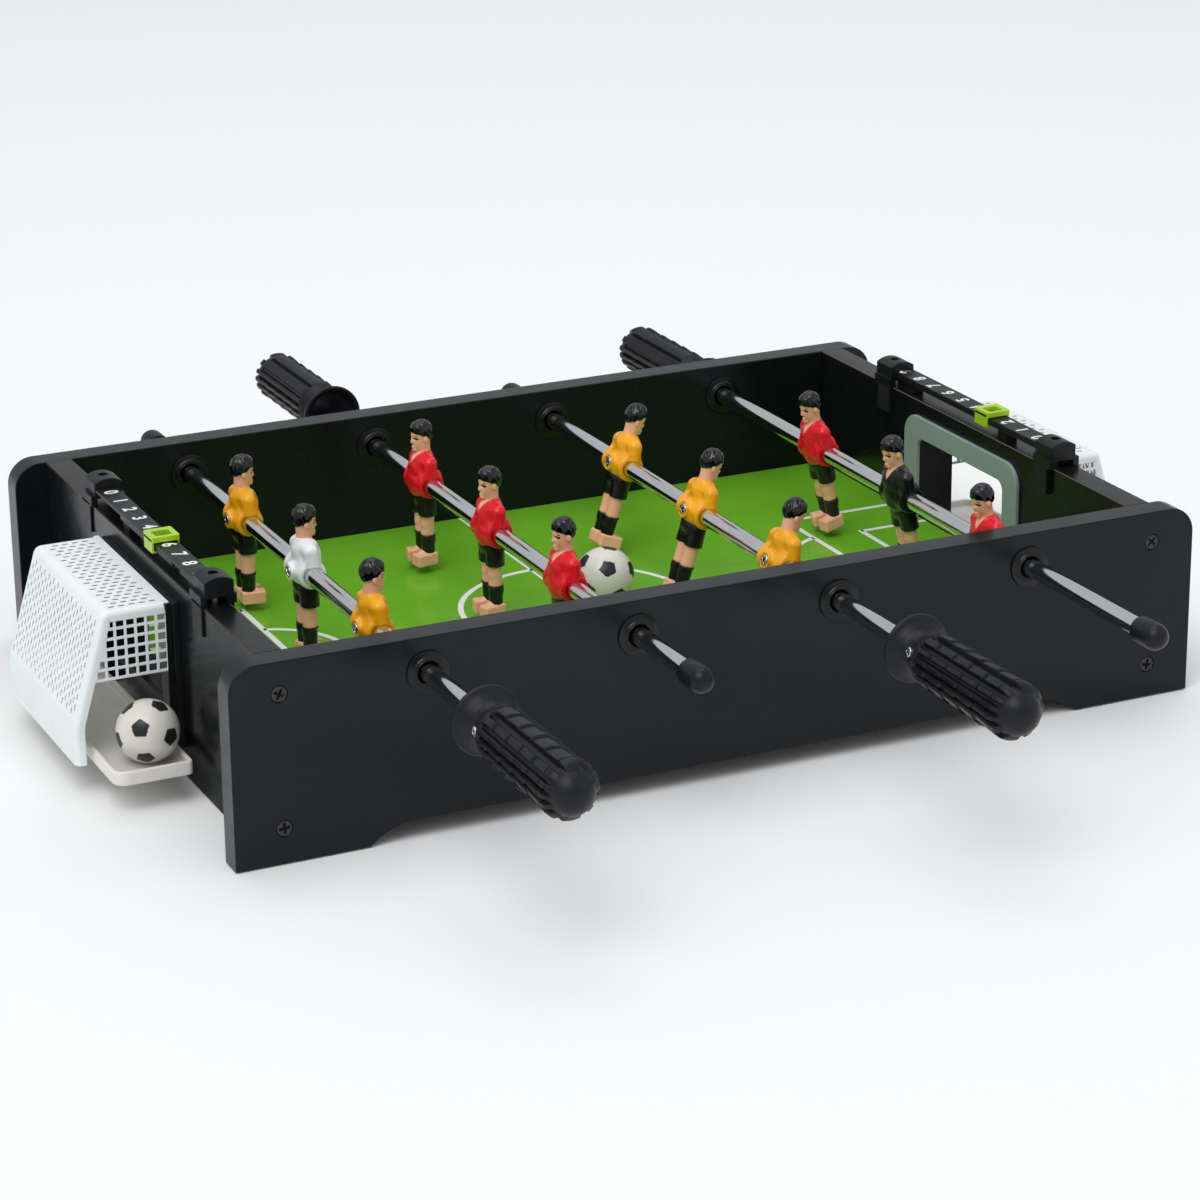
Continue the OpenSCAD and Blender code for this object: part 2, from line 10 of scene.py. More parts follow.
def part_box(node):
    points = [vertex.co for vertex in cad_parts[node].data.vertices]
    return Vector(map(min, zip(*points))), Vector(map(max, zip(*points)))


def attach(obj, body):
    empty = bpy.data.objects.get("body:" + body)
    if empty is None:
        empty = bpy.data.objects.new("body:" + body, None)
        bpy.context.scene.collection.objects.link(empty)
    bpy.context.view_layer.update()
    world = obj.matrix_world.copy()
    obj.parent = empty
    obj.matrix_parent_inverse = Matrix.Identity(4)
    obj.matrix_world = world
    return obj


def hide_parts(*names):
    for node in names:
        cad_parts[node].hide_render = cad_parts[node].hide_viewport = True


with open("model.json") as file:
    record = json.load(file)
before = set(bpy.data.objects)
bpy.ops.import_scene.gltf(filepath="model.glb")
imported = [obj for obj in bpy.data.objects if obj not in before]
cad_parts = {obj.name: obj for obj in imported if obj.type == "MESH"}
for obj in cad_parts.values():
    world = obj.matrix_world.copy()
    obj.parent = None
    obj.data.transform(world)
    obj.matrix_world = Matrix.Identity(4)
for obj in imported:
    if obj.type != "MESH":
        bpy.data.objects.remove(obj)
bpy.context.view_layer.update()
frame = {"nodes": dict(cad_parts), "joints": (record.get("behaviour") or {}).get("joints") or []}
NODES = frame["nodes"]
JOINTS = {j["name"]: j for j in frame["joints"]}
MM = 0.001

# ---------------- frame
# Key places, in millimetres, from the CAD nodes' own boxes.


def box_mm(node):
    lo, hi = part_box(node)
    return np.array(lo) / MM, np.array(hi) / MM


P_LO, P_HI = box_mm("side_panel_front")
B_HI = box_mm("side_panel_back")[1]
E_LO, E_HI = box_mm("end_panel_left")
SHIFT = (P_LO[1] + B_HI[1]) / 2  # the cabinet's middle along Y
PANEL_L = P_HI[0] - P_LO[0]
PANEL_H = P_HI[2]
TABLE_W = B_HI[1] - P_LO[1]
SIDE_T = P_HI[1] - P_LO[1]
SIDE_IN = TABLE_W / 2 - SIDE_T
END_OUT, END_IN = -E_LO[0], -E_HI[0]
END_MID, END_T = (END_OUT + END_IN) / 2, END_OUT - END_IN
FIELD_Z = box_mm("playfield_sheet")[1][2]
TILT = (0.0, 0.0, 17.0, -11.0)  # how far each rod's figures hang off upright, in degrees
FIGURE_PITCH = 78.0
ROD_R = 4.0


def rod_places():
    """Each rod's x and z, its middle figure's y, its handle's side and how far off its flange is."""
    out = []
    for k in range(1, 5):
        x, _, z = JOINTS[f"rod_{k}_spin"]["pos_m"]
        h_lo, h_hi = box_mm(f"handle_{k}")
        m_lo, m_hi = box_mm(f"figure_{k}_{'keeper' if k in (1, 4) else 'middle'}")
        mid = (m_lo[1] + m_hi[1]) / 2
        side = -1 if h_lo[1] < SHIFT else 1
        flange = abs((h_hi if side < 0 else h_lo)[1] - mid)
        out.append({"x": x / MM, "z": z / MM, "mid": mid, "side": side, "flange": flange})
    return out


RODS = rod_places()


def move(x, y, z):
    return Matrix.Translation((x, y, z))


def turn_z(deg):
    return Matrix.Rotation(math.radians(deg), 4, "Z")


def half_turn(turned):
    return turn_z(180) if turned else Matrix.Identity(4)


def cabinet(turned=False):
    """The cabinet's own frame; turned half round, it serves the back or the right end."""
    return move(0, SHIFT, 0) @ half_turn(turned)


X, Y, Z = Matrix.Identity(3)


def basis(o, x, y, z):
    """Matrix that takes local axes to x, y, z at origin o (all in millimetres)."""
    m = Matrix((x, y, z)).transposed().to_4x4()
    m.translation = o
    return m


# ---------------- materials


def new_material(name):
    m = bpy.data.materials.new(name)
    m.use_nodes = True
    return m, m.node_tree.nodes["Principled BSDF"]


def put(node, **values):
    """Sets a node's own sockets, named with _ for a space."""
    for key, value in values.items():
        node.inputs[key.replace("_", " ")].default_value = value


def coords(b, scale=(1, 1, 1)):
    """Object coordinates, scaled."""
    nt = b.id_data
    mapping = nt.nodes.new("ShaderNodeMapping")
    put(mapping, Scale=scale)
    nt.links.new(nt.nodes.new("ShaderNodeTexCoord").outputs["Object"], mapping.inputs["Vector"])
    return mapping.outputs["Vector"]


def noise(vec, scale, detail=4.0, rough=0.55):
    nt = vec.id_data
    n = nt.nodes.new("ShaderNodeTexNoise")
    put(n, Scale=scale, Detail=detail, Roughness=rough)
    nt.links.new(vec, n.inputs["Vector"])
    return n.outputs["Fac"]


def vary(b, socket, fac, low, high):
    """Drives a socket between two stops, each a place on the ramp and a value or colour."""
    nt = b.id_data
    r = nt.nodes.new("ShaderNodeValToRGB")
    for e, (place, c) in zip(r.color_ramp.elements, (low, high)):
        e.position = place
        e.color = (c, c, c, 1) if isinstance(c, float) else (*c, 1)
    nt.links.new(fac, r.inputs["Fac"])
    nt.links.new(r.outputs["Color"], b.inputs[socket])


def bump(b, height, strength, distance):
    nt = b.id_data
    n = nt.nodes.new("ShaderNodeBump")
    put(n, Strength=strength, Distance=distance)
    nt.links.new(height, n.inputs["Height"])
    nt.links.new(n.outputs["Normal"], b.inputs["Normal"])


def scaled(color, k):
    return tuple(min(1.0, c * k) for c in color)


def moulded(name, color, rough, grain=1500.0, depth=4e-5, spread=0.12, coat=0.0, strength=0.35, spec=0.35):
    """Moulded plastic or paint: slight colour and gloss variation, fine surface grain."""
    m, b = new_material(name)
    vec = coords(b)
    low, high = scaled(color, 1 - spread), scaled(color, 1 + spread * 0.6)
    vary(b, "Base Color", noise(vec, 55.0), (0.3, low), (0.7, high))
    vary(b, "Roughness", noise(vec, 160.0), (0.25, rough * 0.85), (0.75, rough * 1.15))
    bump(b, noise(vec, grain), strength, depth)
    put(b, Specular_IOR_Level=spec)
    if coat:
        put(b, Coat_Weight=coat, Coat_Roughness=0.12)
    return m


def laminate(name):
    """Black laminate with a faint leathery grain and a satin sheen."""
    m, b = new_material(name)
    vec = coords(b)
    low, high = (0.0045, 0.005, 0.006), (0.007, 0.008, 0.0095)
    vary(b, "Base Color", noise(vec, 18.0), (0.3, low), (0.7, high))
    vary(b, "Roughness", noise(coords(b, (1, 1, 1.5)), 90.0), (0.25, 0.2), (0.8, 0.3))
    bump(b, noise(vec, 900.0, 6.0, 0.65), 0.2, 5e-5)
    put(b, Specular_IOR_Level=0.26, Specular_Tint=(0.86, 0.93, 1.0, 1))
    return m


def fibreboard(name, color):
    m, b = new_material(name)
    fibres = noise(coords(b, (1, 6, 6)), 220.0, 8.0, 0.7)
    vary(b, "Base Color", fibres, (0.25, scaled(color, 0.7)), (0.75, color))
    put(b, Roughness=0.85)
    bump(b, noise(coords(b), 1400.0), 0.5, 1e-4)
    return m


def wood(name):
    m, b = new_material(name)
    rings = b.id_data.nodes.new("ShaderNodeTexWave")
    put(rings, Scale=14.0, Distortion=7.0, Detail=3.0)
    b.id_data.links.new(coords(b, (0.4, 9, 9)), rings.inputs["Vector"])
    fac = rings.outputs["Fac"]
    vary(b, "Base Color", fac, (0.2, (0.42, 0.28, 0.15)), (0.8, (0.62, 0.45, 0.27)))
    put(b, Roughness=0.7)
    bump(b, fac, 0.3, 1e-4)
    return m


def chrome(name):
    """Polished tube with a faint grain along Y."""
    m, b = new_material(name)
    streaks = noise(coords(b, (1, 0.15, 1)), 260.0)
    vary(b, "Base Color", streaks, (0.3, (0.68, 0.69, 0.71)), (0.7, (0.76, 0.77, 0.79)))
    put(b, Metallic=1.0)
    vary(b, "Roughness", noise(coords(b), 90.0), (0.3, 0.08), (0.75, 0.15))
    bump(b, noise(coords(b, (1, 0.08, 1)), 700.0), 0.06, 3e-5)
    return m


def metal(name, color, rough):
    m, b = new_material(name)
    vec = coords(b)
    vary(b, "Base Color", noise(vec, 700.0), (0.3, scaled(color, 0.75)), (0.7, color))
    put(b, Metallic=1.0)
    vary(b, "Roughness", noise(vec, 900.0), (0.3, rough * 0.7), (0.7, rough * 1.3))
    bump(b, noise(vec, 2500.0), 0.2, 3e-5)
    return m


MAT = {
    "laminate": laminate("laminate_black"),
    "edge_tan": moulded("laminate_edge_tan", (0.12, 0.092, 0.066), 0.6),
    "fibre": fibreboard("fibreboard", (0.42, 0.3, 0.18)),
    "wood": wood("batten_wood"),
    "green": moulded("field_green", (0.15, 0.43, 0.022), 0.2, 700.0, 2e-5, spread=0.06, strength=0.15),
    "white_line": moulded("field_line_white", (0.86, 0.88, 0.84), 0.25, spread=0.03, strength=0.15),
    "chrome": chrome("rod_chrome"),
    "steel": metal("screw_zinc", (0.72, 0.72, 0.74), 0.22),
    "dark_steel": metal("screw_blackened", (0.07, 0.07, 0.075), 0.32),
    # painted shade: near-black for the hollows of the screws' cross recesses and the linings of the panel
    # screws' holes, where shade falls
    "recess": moulded("screw_recess_painted_shade", (0.01, 0.01, 0.01), 0.6),
    "black": moulded("plastic_black", (0.0085, 0.009, 0.0105), 0.36, 1800.0, spec=0.25),
    "black_gloss": moulded("plastic_black_gloss", (0.006, 0.0065, 0.007), 0.26, 900.0, 2e-5, spec=0.3),
    "grip": moulded("grip_black", (0.0085, 0.009, 0.0105), 0.4, 1300.0, 5e-5, strength=0.4, spec=0.25),
    "grey": moulded("goal_frame_grey", (0.27, 0.335, 0.32), 0.42, spread=0.05),
    "white": moulded("net_white", (0.82, 0.87, 0.87), 0.35, 1200.0, spread=0.03),
    "cream": moulded("tray_cream", (0.8, 0.77, 0.71), 0.34, 900.0, spread=0.04),
    "lime": moulded("slider_lime", (0.4, 0.66, 0.014), 0.32, 900.0, spread=0.08, coat=0.3),
    "digit": moulded("digit_white", (0.82, 0.82, 0.82), 0.45, spread=0.05),
    "ball": moulded("ball_cream", (0.7, 0.67, 0.6), 0.3, 500.0, spread=0.05, coat=0.2),
    "ball_black": moulded("ball_pentagon_black", (0.016, 0.018, 0.02), 0.3, 800.0, spread=0.3),
    "skin": moulded("figure_skin", (0.93, 0.49, 0.3), 0.42, 700.0, spread=0.07, coat=0.15),
    "hair": moulded("figure_hair_black", (0.003, 0.0035, 0.005), 0.12, 900.0, coat=0.3, spread=0.3),
    "cloth_black": moulded("figure_black", (0.0055, 0.006, 0.0065), 0.3, 700.0, coat=0.15, spread=0.25),
    "eye": moulded("figure_eye_dark", (0.01, 0.008, 0.007), 0.35, coat=0.3),
    "yellow": moulded("shirt_yellow", (0.95, 0.41, 0.005), 0.28, 500.0, spread=0.09, coat=0.25, spec=0.3),
    "red": moulded("shirt_red", (0.8, 0.009, 0.022), 0.26, 500.0, spread=0.12, coat=0.2, spec=0.3),
    "shirt_white": moulded("shirt_white", (0.88, 0.88, 0.9), 0.28, 500.0, spread=0.04, coat=0.2),
    "shirt_black": moulded("shirt_black", (0.006, 0.0065, 0.007), 0.24, 500.0, coat=0.2, spread=0.25),
}

# ---------------- mesh helpers


def new_object(name, data):
    ob = bpy.data.objects.new(name, data)
    bpy.context.scene.collection.objects.link(ob)
    return ob


def finish_piece(name, mesh, body, node=None, angle=35, flat=False):
    """Links a mesh as a piece that rides on a body and stands for a CAD node; flat shades faces evenly."""
    for p in mesh.polygons:
        p.use_smooth = True
    mesh.set_sharp_from_angle(angle=math.radians(angle))
    ob = new_object(name, mesh)
    if flat:
        ob.modifiers.new("even_shade", "WEIGHTED_NORMAL").keep_sharp = True
    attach(ob, body)
    if node:
        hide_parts(node)


def fix_normals(me):
    bm = bmesh.new()
    bm.from_mesh(me)
    bmesh.ops.recalc_face_normals(bm, faces=bm.faces)
    bm.to_mesh(me)
    bm.free()


class Build:
    """Collects shapes in millimetres, each with one material, and makes one piece of them."""

    def __init__(self):
        self.v, self.f, self.m, self.mats = [], [], [], []

    def add(self, verts, faces, key, matrix):
        base = len(self.v)
        self.v += [matrix @ Vector(v) for v in verts]
        if key not in self.mats:
            self.mats.append(key)
        turn = -1 if matrix.determinant() < 0 else 1
        for f in faces:
            self.f.append([base + k for k in f][::turn])
            self.m.append(self.mats.index(key))

    def add_mesh(self, me, key, matrix):
        """Takes a mesh in and removes it."""
        self.add([v.co for v in me.vertices], [p.vertices for p in me.polygons], key, matrix)
        bpy.data.meshes.remove(me)

    def piece(self, name, body, node=None, angle=35, flat=False, fix=False):
        me = bpy.data.meshes.new(name)
        me.from_pydata([tuple(c * MM for c in v) for v in self.v], [], self.f)
        for key in self.mats:
            me.materials.append(MAT[key])
        me.polygons.foreach_set("material_index", np.array(self.m, np.int32))
        me.validate()
        me.update()
        if fix:
            fix_normals(me)
        finish_piece(name, me, body, node, angle, flat)


def arc(cx, cy, r, a0, a1, n=4):
    angles = [math.radians(a0 + (a1 - a0) * i / n) for i in range(n + 1)]
    return [(cx + r * math.cos(a), cy + r * math.sin(a)) for a in angles]


def circle(cx, cy, r, n=32):
    return arc(cx, cy, r, 0, 360, n)[:-1]


def rect(x0, x1, y0, y1):
    return [(x0, y0), (x1, y0), (x1, y1), (x0, y1)]


def rounded_rect(x0, x1, y0, y1, r, n=6):
    """Rectangle with round corners; r is one radius or four, from the lower left, anticlockwise."""
    radii = r if isinstance(r, (list, tuple)) else [r] * 4
    out = []
    for k, ((x, y), q) in enumerate(zip(rect(x0, x1, y0, y1), radii)):
        if q:
            ox, oy = x + (q if x == x0 else -q), y + (q if y == y0 else -q)
            out += arc(ox, oy, q, 180 + 90 * k, 270 + 90 * k, n)
        else:
            out.append((x, y))
    return out


def board(x0, x1, y0, y1):
    """Rectangle for a wide bevelled plate: its corners are broken by a hair."""
    return rounded_rect(x0, x1, y0, y1, 0.01, 1)


def plate(outlines, thick, bevel=0.3, steps=2):
    """Mesh of filled outlines (holes are inner outlines), from z = 0 to thick, with rounded edges."""
    cu = bpy.data.curves.new("plate", "CURVE")
    cu.dimensions = "2D"
    cu.fill_mode = "BOTH"
    cu.extrude = max(thick / 2 - bevel, 1e-5)
    cu.bevel_depth = bevel
    cu.bevel_resolution = steps
    cu.offset = -bevel
    for pts in outlines:
        sp = cu.splines.new("POLY")
        sp.points.add(len(pts) - 1)
        for q, p in zip(sp.points, pts):
            q.co = (p[0], p[1], 0, 1)
        sp.use_cyclic_u = True
    me = curve_mesh(cu)
    bm = bmesh.new()
    bm.from_mesh(me)
    bmesh.ops.remove_doubles(bm, verts=bm.verts, dist=1e-4)
    bmesh.ops.translate(bm, verts=bm.verts, vec=(0, 0, thick / 2))
    bm.to_mesh(me)
    bm.free()
    return me


def evaluated_mesh(ob):
    return bpy.data.meshes.new_from_object(ob.evaluated_get(bpy.context.evaluated_depsgraph_get()))


def curve_mesh(cu):
    """The mesh of a curve or a text, which is removed."""
    ob = new_object("outline", cu)
    me = evaluated_mesh(ob)
    bpy.data.objects.remove(ob)
    bpy.data.curves.remove(cu)
    return me


def drill(me, cutter):
    """The mesh me less the closed mesh cutter."""
    fix_normals(me)
    fix_normals(cutter)
    ob, tool = new_object("drilled", me), new_object("cutter", cutter)
    mod = ob.modifiers.new("drill", "BOOLEAN")
    mod.operation = "DIFFERENCE"
    mod.solver = "EXACT"
    mod.object = tool
    out = evaluated_mesh(ob)
    for o in (ob, tool):
        bpy.data.objects.remove(o)
    return out


def loft(rings, cap=True):
    """(verts, faces) through closed rings of 3-D points, all with the same number of points."""
    verts = [p for ring in rings for p in ring]
    m = len(rings[0])
    faces = []
    for i in range(len(rings) - 1):
        for k in range(m):
            a, a2 = i * m + k, i * m + (k + 1) % m
            faces.append((a, a2, a2 + m, a + m))
    if cap:
        last = len(verts) - m
        faces += [tuple(range(m))[::-1], tuple(last + k for k in range(m))]
    return verts, faces


def lathe(profile, n=48, flip=False):
    """(verts, faces) of a profile of (radius, along) turned about +Y."""
    verts, faces, rows = [], [], []
    for r, y in profile:
        row = [(x, y, z) for x, z in circle(0, 0, r, n)] if r else [(0, y, 0)]
        rows.append(range(len(verts), len(verts) + len(row)))
        verts += row
    for a, b in zip(rows, rows[1:]):
        for i in range(n):
            j = (i + 1) % n
            if len(a) == 1:
                faces.append((a[0], b[i], b[j]))
            elif len(b) == 1:
                faces.append((a[i], b[0], a[j]))
            else:
                faces.append((a[i], b[i], b[j], a[j]))
    return verts, [f[::-1] for f in faces] if flip else faces


# ---------------- implicit surfaces
# A shape is a function that is negative inside it. A point p is a tuple of arrays.


def smin(a, b, k):
    h = np.clip(0.5 + 0.5 * (b - a) / k, 0, 1)
    return b + (a - b) * h - k * h * (1 - h)


def smax(a, b, k):
    return -smin(-a, -b, k)


def blend(d, *shapes):
    """Joins shapes to d, each with the width of its fillet."""
    for shape, k in shapes:
        d = smin(d, shape, k)
    return d


def ell(p, c, r):
    """Ellipsoid at c with radii r."""
    q = [(p[i] - c[i]) / r[i] for i in range(3)]
    k0 = np.sqrt(sum(a**2 for a in q))
    k1 = np.sqrt(sum((a / b) ** 2 for a, b in zip(q, r))) + 1e-9
    return k0 * (k0 - 1) / k1


def cone(p, a, b, ra, rb):
    """Capsule from a to b whose radius goes from ra to rb."""
    a = np.array(a, float)
    d = np.array(b, float) - a
    t = np.clip(sum((p[i] - a[i]) * d[i] for i in range(3)) / (d @ d), 0, 1)
    return np.sqrt(sum((p[i] - a[i] - t * d[i]) ** 2 for i in range(3))) - (ra + (rb - ra) * t)


def rbox(p, c, half, r, yaw=0.0):
    """Box at c with round edges, turned about Z."""
    ca, sa = math.cos(yaw), math.sin(yaw)
    dx, dy, dz = (p[i] - c[i] for i in range(3))
    local = (dx * ca + dy * sa, -dx * sa + dy * ca, dz)
    q = [np.abs(a) - h + r for a, h in zip(local, half)]
    out = np.sqrt(sum(np.maximum(a, 0) ** 2 for a in q))
    return out + np.minimum(np.maximum(q[0], np.maximum(q[1], q[2])), 0) - r


def surface(f, lo, hi, h):
    """(verts, quads) of the surface f = 0 by surface nets, with the vertices moved onto it."""
    v = f(*np.meshgrid(*[np.arange(a, b + h, h) for a, b in zip(lo, hi)], indexing="ij"))
    cells = np.array(v.shape) - 1
    total, count = np.zeros((*cells, 3)), np.zeros(cells)
    around, flips = [], []
    for axis in range(3):
        # the grid's edges along this axis that cross the surface, and the four cells round each
        along, o1, o2 = np.roll(np.eye(3, dtype=int), -axis, 0)
        start = np.argwhere(np.diff(v < 0, axis=axis))
        a, b = v[tuple(start.T)], v[tuple((start + along).T)]
        place = lo + h * (start + along * (a / (a - b))[:, None])
        corners = np.stack([start + u * o1 + w * o2 for u, w in ((-1, -1), (0, -1), (0, 0), (-1, 0))], 1)
        valid = ((corners >= 0) & (corners < cells)).all(2)
        for k in range(4):
            cell = tuple(corners[valid[:, k], k].T)
            np.add.at(total, cell, place[valid[:, k]])
            np.add.at(count, cell, 1)
        around.append(corners[valid.all(1)])
        flips.append((a >= 0)[valid.all(1)])
    used = count > 0
    index = np.cumsum(used).reshape(used.shape) - 1
    verts = total[used] / count[used][:, None]
    quads = index[tuple(np.moveaxis(np.concatenate(around), 2, 0))]
    flip = np.concatenate(flips)
    quads[flip] = quads[flip][:, ::-1]
    e = h * 0.2
    for _ in range(3):
        slopes = []
        for i in range(3):
            ahead, behind = verts.T.copy(), verts.T.copy()
            ahead[i] += e
            behind[i] -= e
            slopes.append((f(*ahead) - f(*behind)) / (2 * e))
        g = np.stack(slopes, 1)
        step = f(*verts.T) / np.maximum((g * g).sum(1), 0.2)
        verts = verts - np.clip(step, -0.4 * h, 0.4 * h)[:, None] * g * 0.8
    return verts.tolist(), quads.tolist()


# ---------------- cabinet

SCREW_ZS = (14.9, 71.6)  # the panel screws' heights
ROD_HOLE_R, SCREW_HOLE_R = 7.0, 3.5


def side_outline():
    """Side panel seen from the front: (x, z), anticlockwise, with the arch between its feet."""
    arch_r, arch_h, arch_half, corner_r = 30.0, 7.7, 165.0, 12.0
    flat = arch_half - math.sqrt(2 * arch_r * arch_h - arch_h**2)
    spread = math.degrees(math.asin((arch_half - flat) / arch_r))
    half = PANEL_L / 2
    out = [(-half, 0), (-arch_half, 0)]
    out += arc(-flat, arch_h - arch_r, arch_r, 90 + spread, 90, 9)[1:]
    out += arc(flat, arch_h - arch_r, arch_r, 90, 90 - spread, 9)[:-1]
    out += [(arch_half, 0), (half, 0)]
    for s, start in ((1, 0), (-1, 90)):
        out += arc(s * (half - corner_r), PANEL_H - corner_r, corner_r, start, start + 90, 12)
    return out


def panel_piece(name, node, back):
    holes = [circle(r["x"], r["z"], ROD_HOLE_R) for r in RODS]
    holes += [circle(s * END_MID, z, SCREW_HOLE_R, 24) for s in (-1, 1) for z in SCREW_ZS]
    b = Build()
    # local x, y, z -> world x, z, -y: the outer face is at z = thick
    m = cabinet(back) @ basis((0, -SIDE_IN, 0), X, Z, -Y)
    b.add_mesh(plate([side_outline(), *holes], SIDE_T, 0.5), "laminate", m)
    b.piece(name, "table", node, 40, flat=True)


panel_piece("panel_front", "side_panel_front", False)
panel_piece("panel_back", "side_panel_back", True)


def end_piece(name, node, right):
    """End panel: a laminated board with the thin tan line of its edge along the top's two arrises."""
    b = Build()
    outer = board(-SIDE_IN, SIDE_IN, 0, PANEL_H)
    mouth = rounded_rect(-40.5, 40.5, FIELD_Z - 1.6, 69.4, [0, 0, 6, 6], 8)
    m = cabinet(right) @ basis((-END_IN, 0, 0), Y, Z, -X)
    b.add_mesh(plate([outer, mouth], END_T, 0.7, 1), "laminate", m)
    for x, s, width in ((-END_OUT, 1, 0.62), (-END_IN, -1, 0.28)):
        section = [(0, -width), (width, 0), (0.9, -0.3), (0.3, -0.9)]
        rings = [[(x + s * u, y, PANEL_H + w) for u, w in section] for y in (-SIDE_IN, SIDE_IN)]
        v, f = loft(rings)
        b.add(v, f if s > 0 else [q[::-1] for q in f], "edge_tan", cabinet(right))
    b.piece(name, "table", node, 40, flat=True)


end_piece("end_board_left", "end_panel_left", False)
end_piece("end_board_right", "end_panel_right", True)

for node, key in (
    ("playfield_board", "fibre"),
    ("playfield_sheet", "green"),
    ("board_battens", "wood"),
    ("goal_screws", "steel"),
):
    NODES[node].data.materials.clear()
    NODES[node].data.materials.append(MAT[key])

# ---------------- field lines, a thin print on the sheet

LINE_ZS = (FIELD_Z, FIELD_Z + 0.06)
LINE_W = 2.6
MID_X, CIRCLE_X, CIRCLE_R = -3.0, -4.0, 53.0
BOX_HALF, GOAL_BOX_HALF, BOX_ARC_R, BOX_ARC_IN = 62.0, 33.0, 36.0, 11.0


def line_arc(b, cx, r, a0, a1, n, cap=True):
    """Printed line along an arc; cap closes its ends."""
    rings = []
    for inner, outer in zip(arc(cx, 0, r - LINE_W / 2, a0, a1, n), arc(cx, 0, r + LINE_W / 2, a0, a1, n)):
        rings.append([(*inner, LINE_ZS[0]), (*inner, LINE_ZS[1]), (*outer, LINE_ZS[1]), (*outer, LINE_ZS[0])])
    b.add(*loft(rings, cap), "white_line", cabinet())


def line_shape(b, outline):
    b.add(*loft([[(x, y, z) for x, y in outline] for z in LINE_ZS]), "white_line", cabinet())


def line_across(b, x, half):
    line_shape(b, rect(x - LINE_W / 2, x + LINE_W / 2, -half, half))


def field_lines():
    b = Build()
    line_across(b, MID_X, SIDE_IN)
    line_arc(b, CIRCLE_X, CIRCLE_R, 0, 360, 96, cap=False)
    line_shape(b, circle(CIRCLE_X, 0, LINE_W, 24))
    reach = math.degrees(math.acos(BOX_ARC_IN / BOX_ARC_R))
    for s, front, goal in ((-1, -142.0, -166.0), (1, 135.0, 160.0)):
        wall = s * END_IN
        for x, half in ((front, BOX_HALF), (goal, GOAL_BOX_HALF)):
            for y in (-half, half):
                line_shape(b, rect(min(x, wall), max(x, wall), y - LINE_W / 2, y + LINE_W / 2))
            line_across(b, x, half + LINE_W / 2)
        middle = 0 if s < 0 else 180
        n = int(96 * 2 * reach / 360)
        line_arc(b, front + s * BOX_ARC_IN, BOX_ARC_R, middle - reach, middle + reach, n)
    b.piece("field_lines", "table", None, 30)


field_lines()

# ---------------- screws


def cross_recess(r):
    """Outline of a cross-head recess with pointed arms."""
    a, w = r * 0.62, r * 0.15
    pts = []
    for c, s in ((1, 0), (0, 1), (-1, 0), (0, -1)):
        pts += [(x * c - y * s, x * s + y * c) for x, y in ((a, -w), (a + w * 0.6, 0), (a, w), (w, w))]
    return pts


def screw_head(b, r, thick, dome, key, matrix):
    """Cross-head screw head: face towards local +z at z = 0, material below."""
    cross = cross_recess(r)
    me = plate([circle(0, 0, r), cross], thick, min(0.12 * r, thick * 0.4))
    for v in me.vertices:
        v.co.z += -thick + dome * (1 - (v.co.x**2 + v.co.y**2) / r**2)
    b.add_mesh(me, key, matrix)
    # the cross recess's walls and floor are near-black painted shade, not the head's own metal
    n, depth = len(cross), thick * 0.9
    v = [(x * k, y * k, -depth * d) for k, d in ((1, 0.45), (0.3, 1.0)) for x, y in cross]
    v.append((0, 0, -depth))
    f = [(i, (i + 1) % n, n + (i + 1) % n, n + i) for i in range(n)]
    f += [(n + i, n + (i + 1) % n, 2 * n) for i in range(n)]
    b.add(v, f, "recess", matrix)


def panel_screws(name, node, back):
    b = Build()
    for s in (-1, 1):
        for z in SCREW_ZS:
            place = cabinet(back) @ move(s * END_MID, -TABLE_W / 2 + 0.25, z)
            face = place @ basis((0, 0, 0), X, Z, -Y)
            screw_head(b, 3.4, 1.6, 0.15, "dark_steel", face @ turn_z(28 + 37 * s + z))
            b.add(*lathe([(0, 1.5), (1.7, 1.5), (1.7, 37), (0, 37)], 24), "dark_steel", place)
            # the hole's lining round the head is near-black painted shade
            b.add(*lathe([(3.5, 0.6), (3.49, 1.6), (1.75, 3.2)], 32, flip=True), "recess", place)
    b.piece(name, "table", node)


panel_screws("cabinet_screws_front", "panel_screws_front", False)
panel_screws("cabinet_screws_back", "panel_screws_back", True)

# ---------------- bushings

BORE = ROD_R + 0.06
# the raised ring round a rod's hole, from its foot inwards: (radius, height over the panel)
RING = [(9.0, 0.0), (9.0, 0.75), (8.9, 0.95), (8.7, 1.05), (7.3, 1.12), (6.9, 1.25), (6.62, 1.6)]
RING += [(6.4, 1.9), (6.05, 2.0), (5.6, 1.93), (5.15, 1.72), (4.75, 1.35)]


def hole_lining(name, node, back, profile):
    b = Build()
    for r in RODS:
        m = cabinet() @ move(r["x"], 0, r["z"]) @ half_turn(back)
        b.add(*lathe(profile, 64), "black_gloss", m)
    b.piece(name, "table", node, fix=True)


def bushing_profile(y, end):
    """From the sleeve's far end, round the outer ring and down the funnel to the bore."""
    sleeve = ROD_HOLE_R - 0.05
    funnel = [(4.45, y - 0.8), (4.25, y - 0.1), (BORE, y + 0.8), (BORE, end)]
    return [(sleeve, end), (sleeve, y), *[(r, y - h) for r, h in RING], *funnel, (sleeve, end)]


def inner_profile(y):
    """The ring on the panel's inner face, which has no sleeve."""
    return [(BORE, y), *[(r, y + h) for r, h in RING], (4.45, y + 0.9), (BORE, y + 0.3), (BORE, y)]


for set_name, node, profile in (
    ("bushing_set", "bushings", bushing_profile(-TABLE_W / 2, -SIDE_IN - 0.3)),
    ("inner_ring_set", "bushing_rings", inner_profile(-SIDE_IN)),
):
    hole_lining(f"{set_name}_front", f"{node}_front", False, profile)
    hole_lining(f"{set_name}_back", f"{node}_back", True, profile)

# ---------------- goals

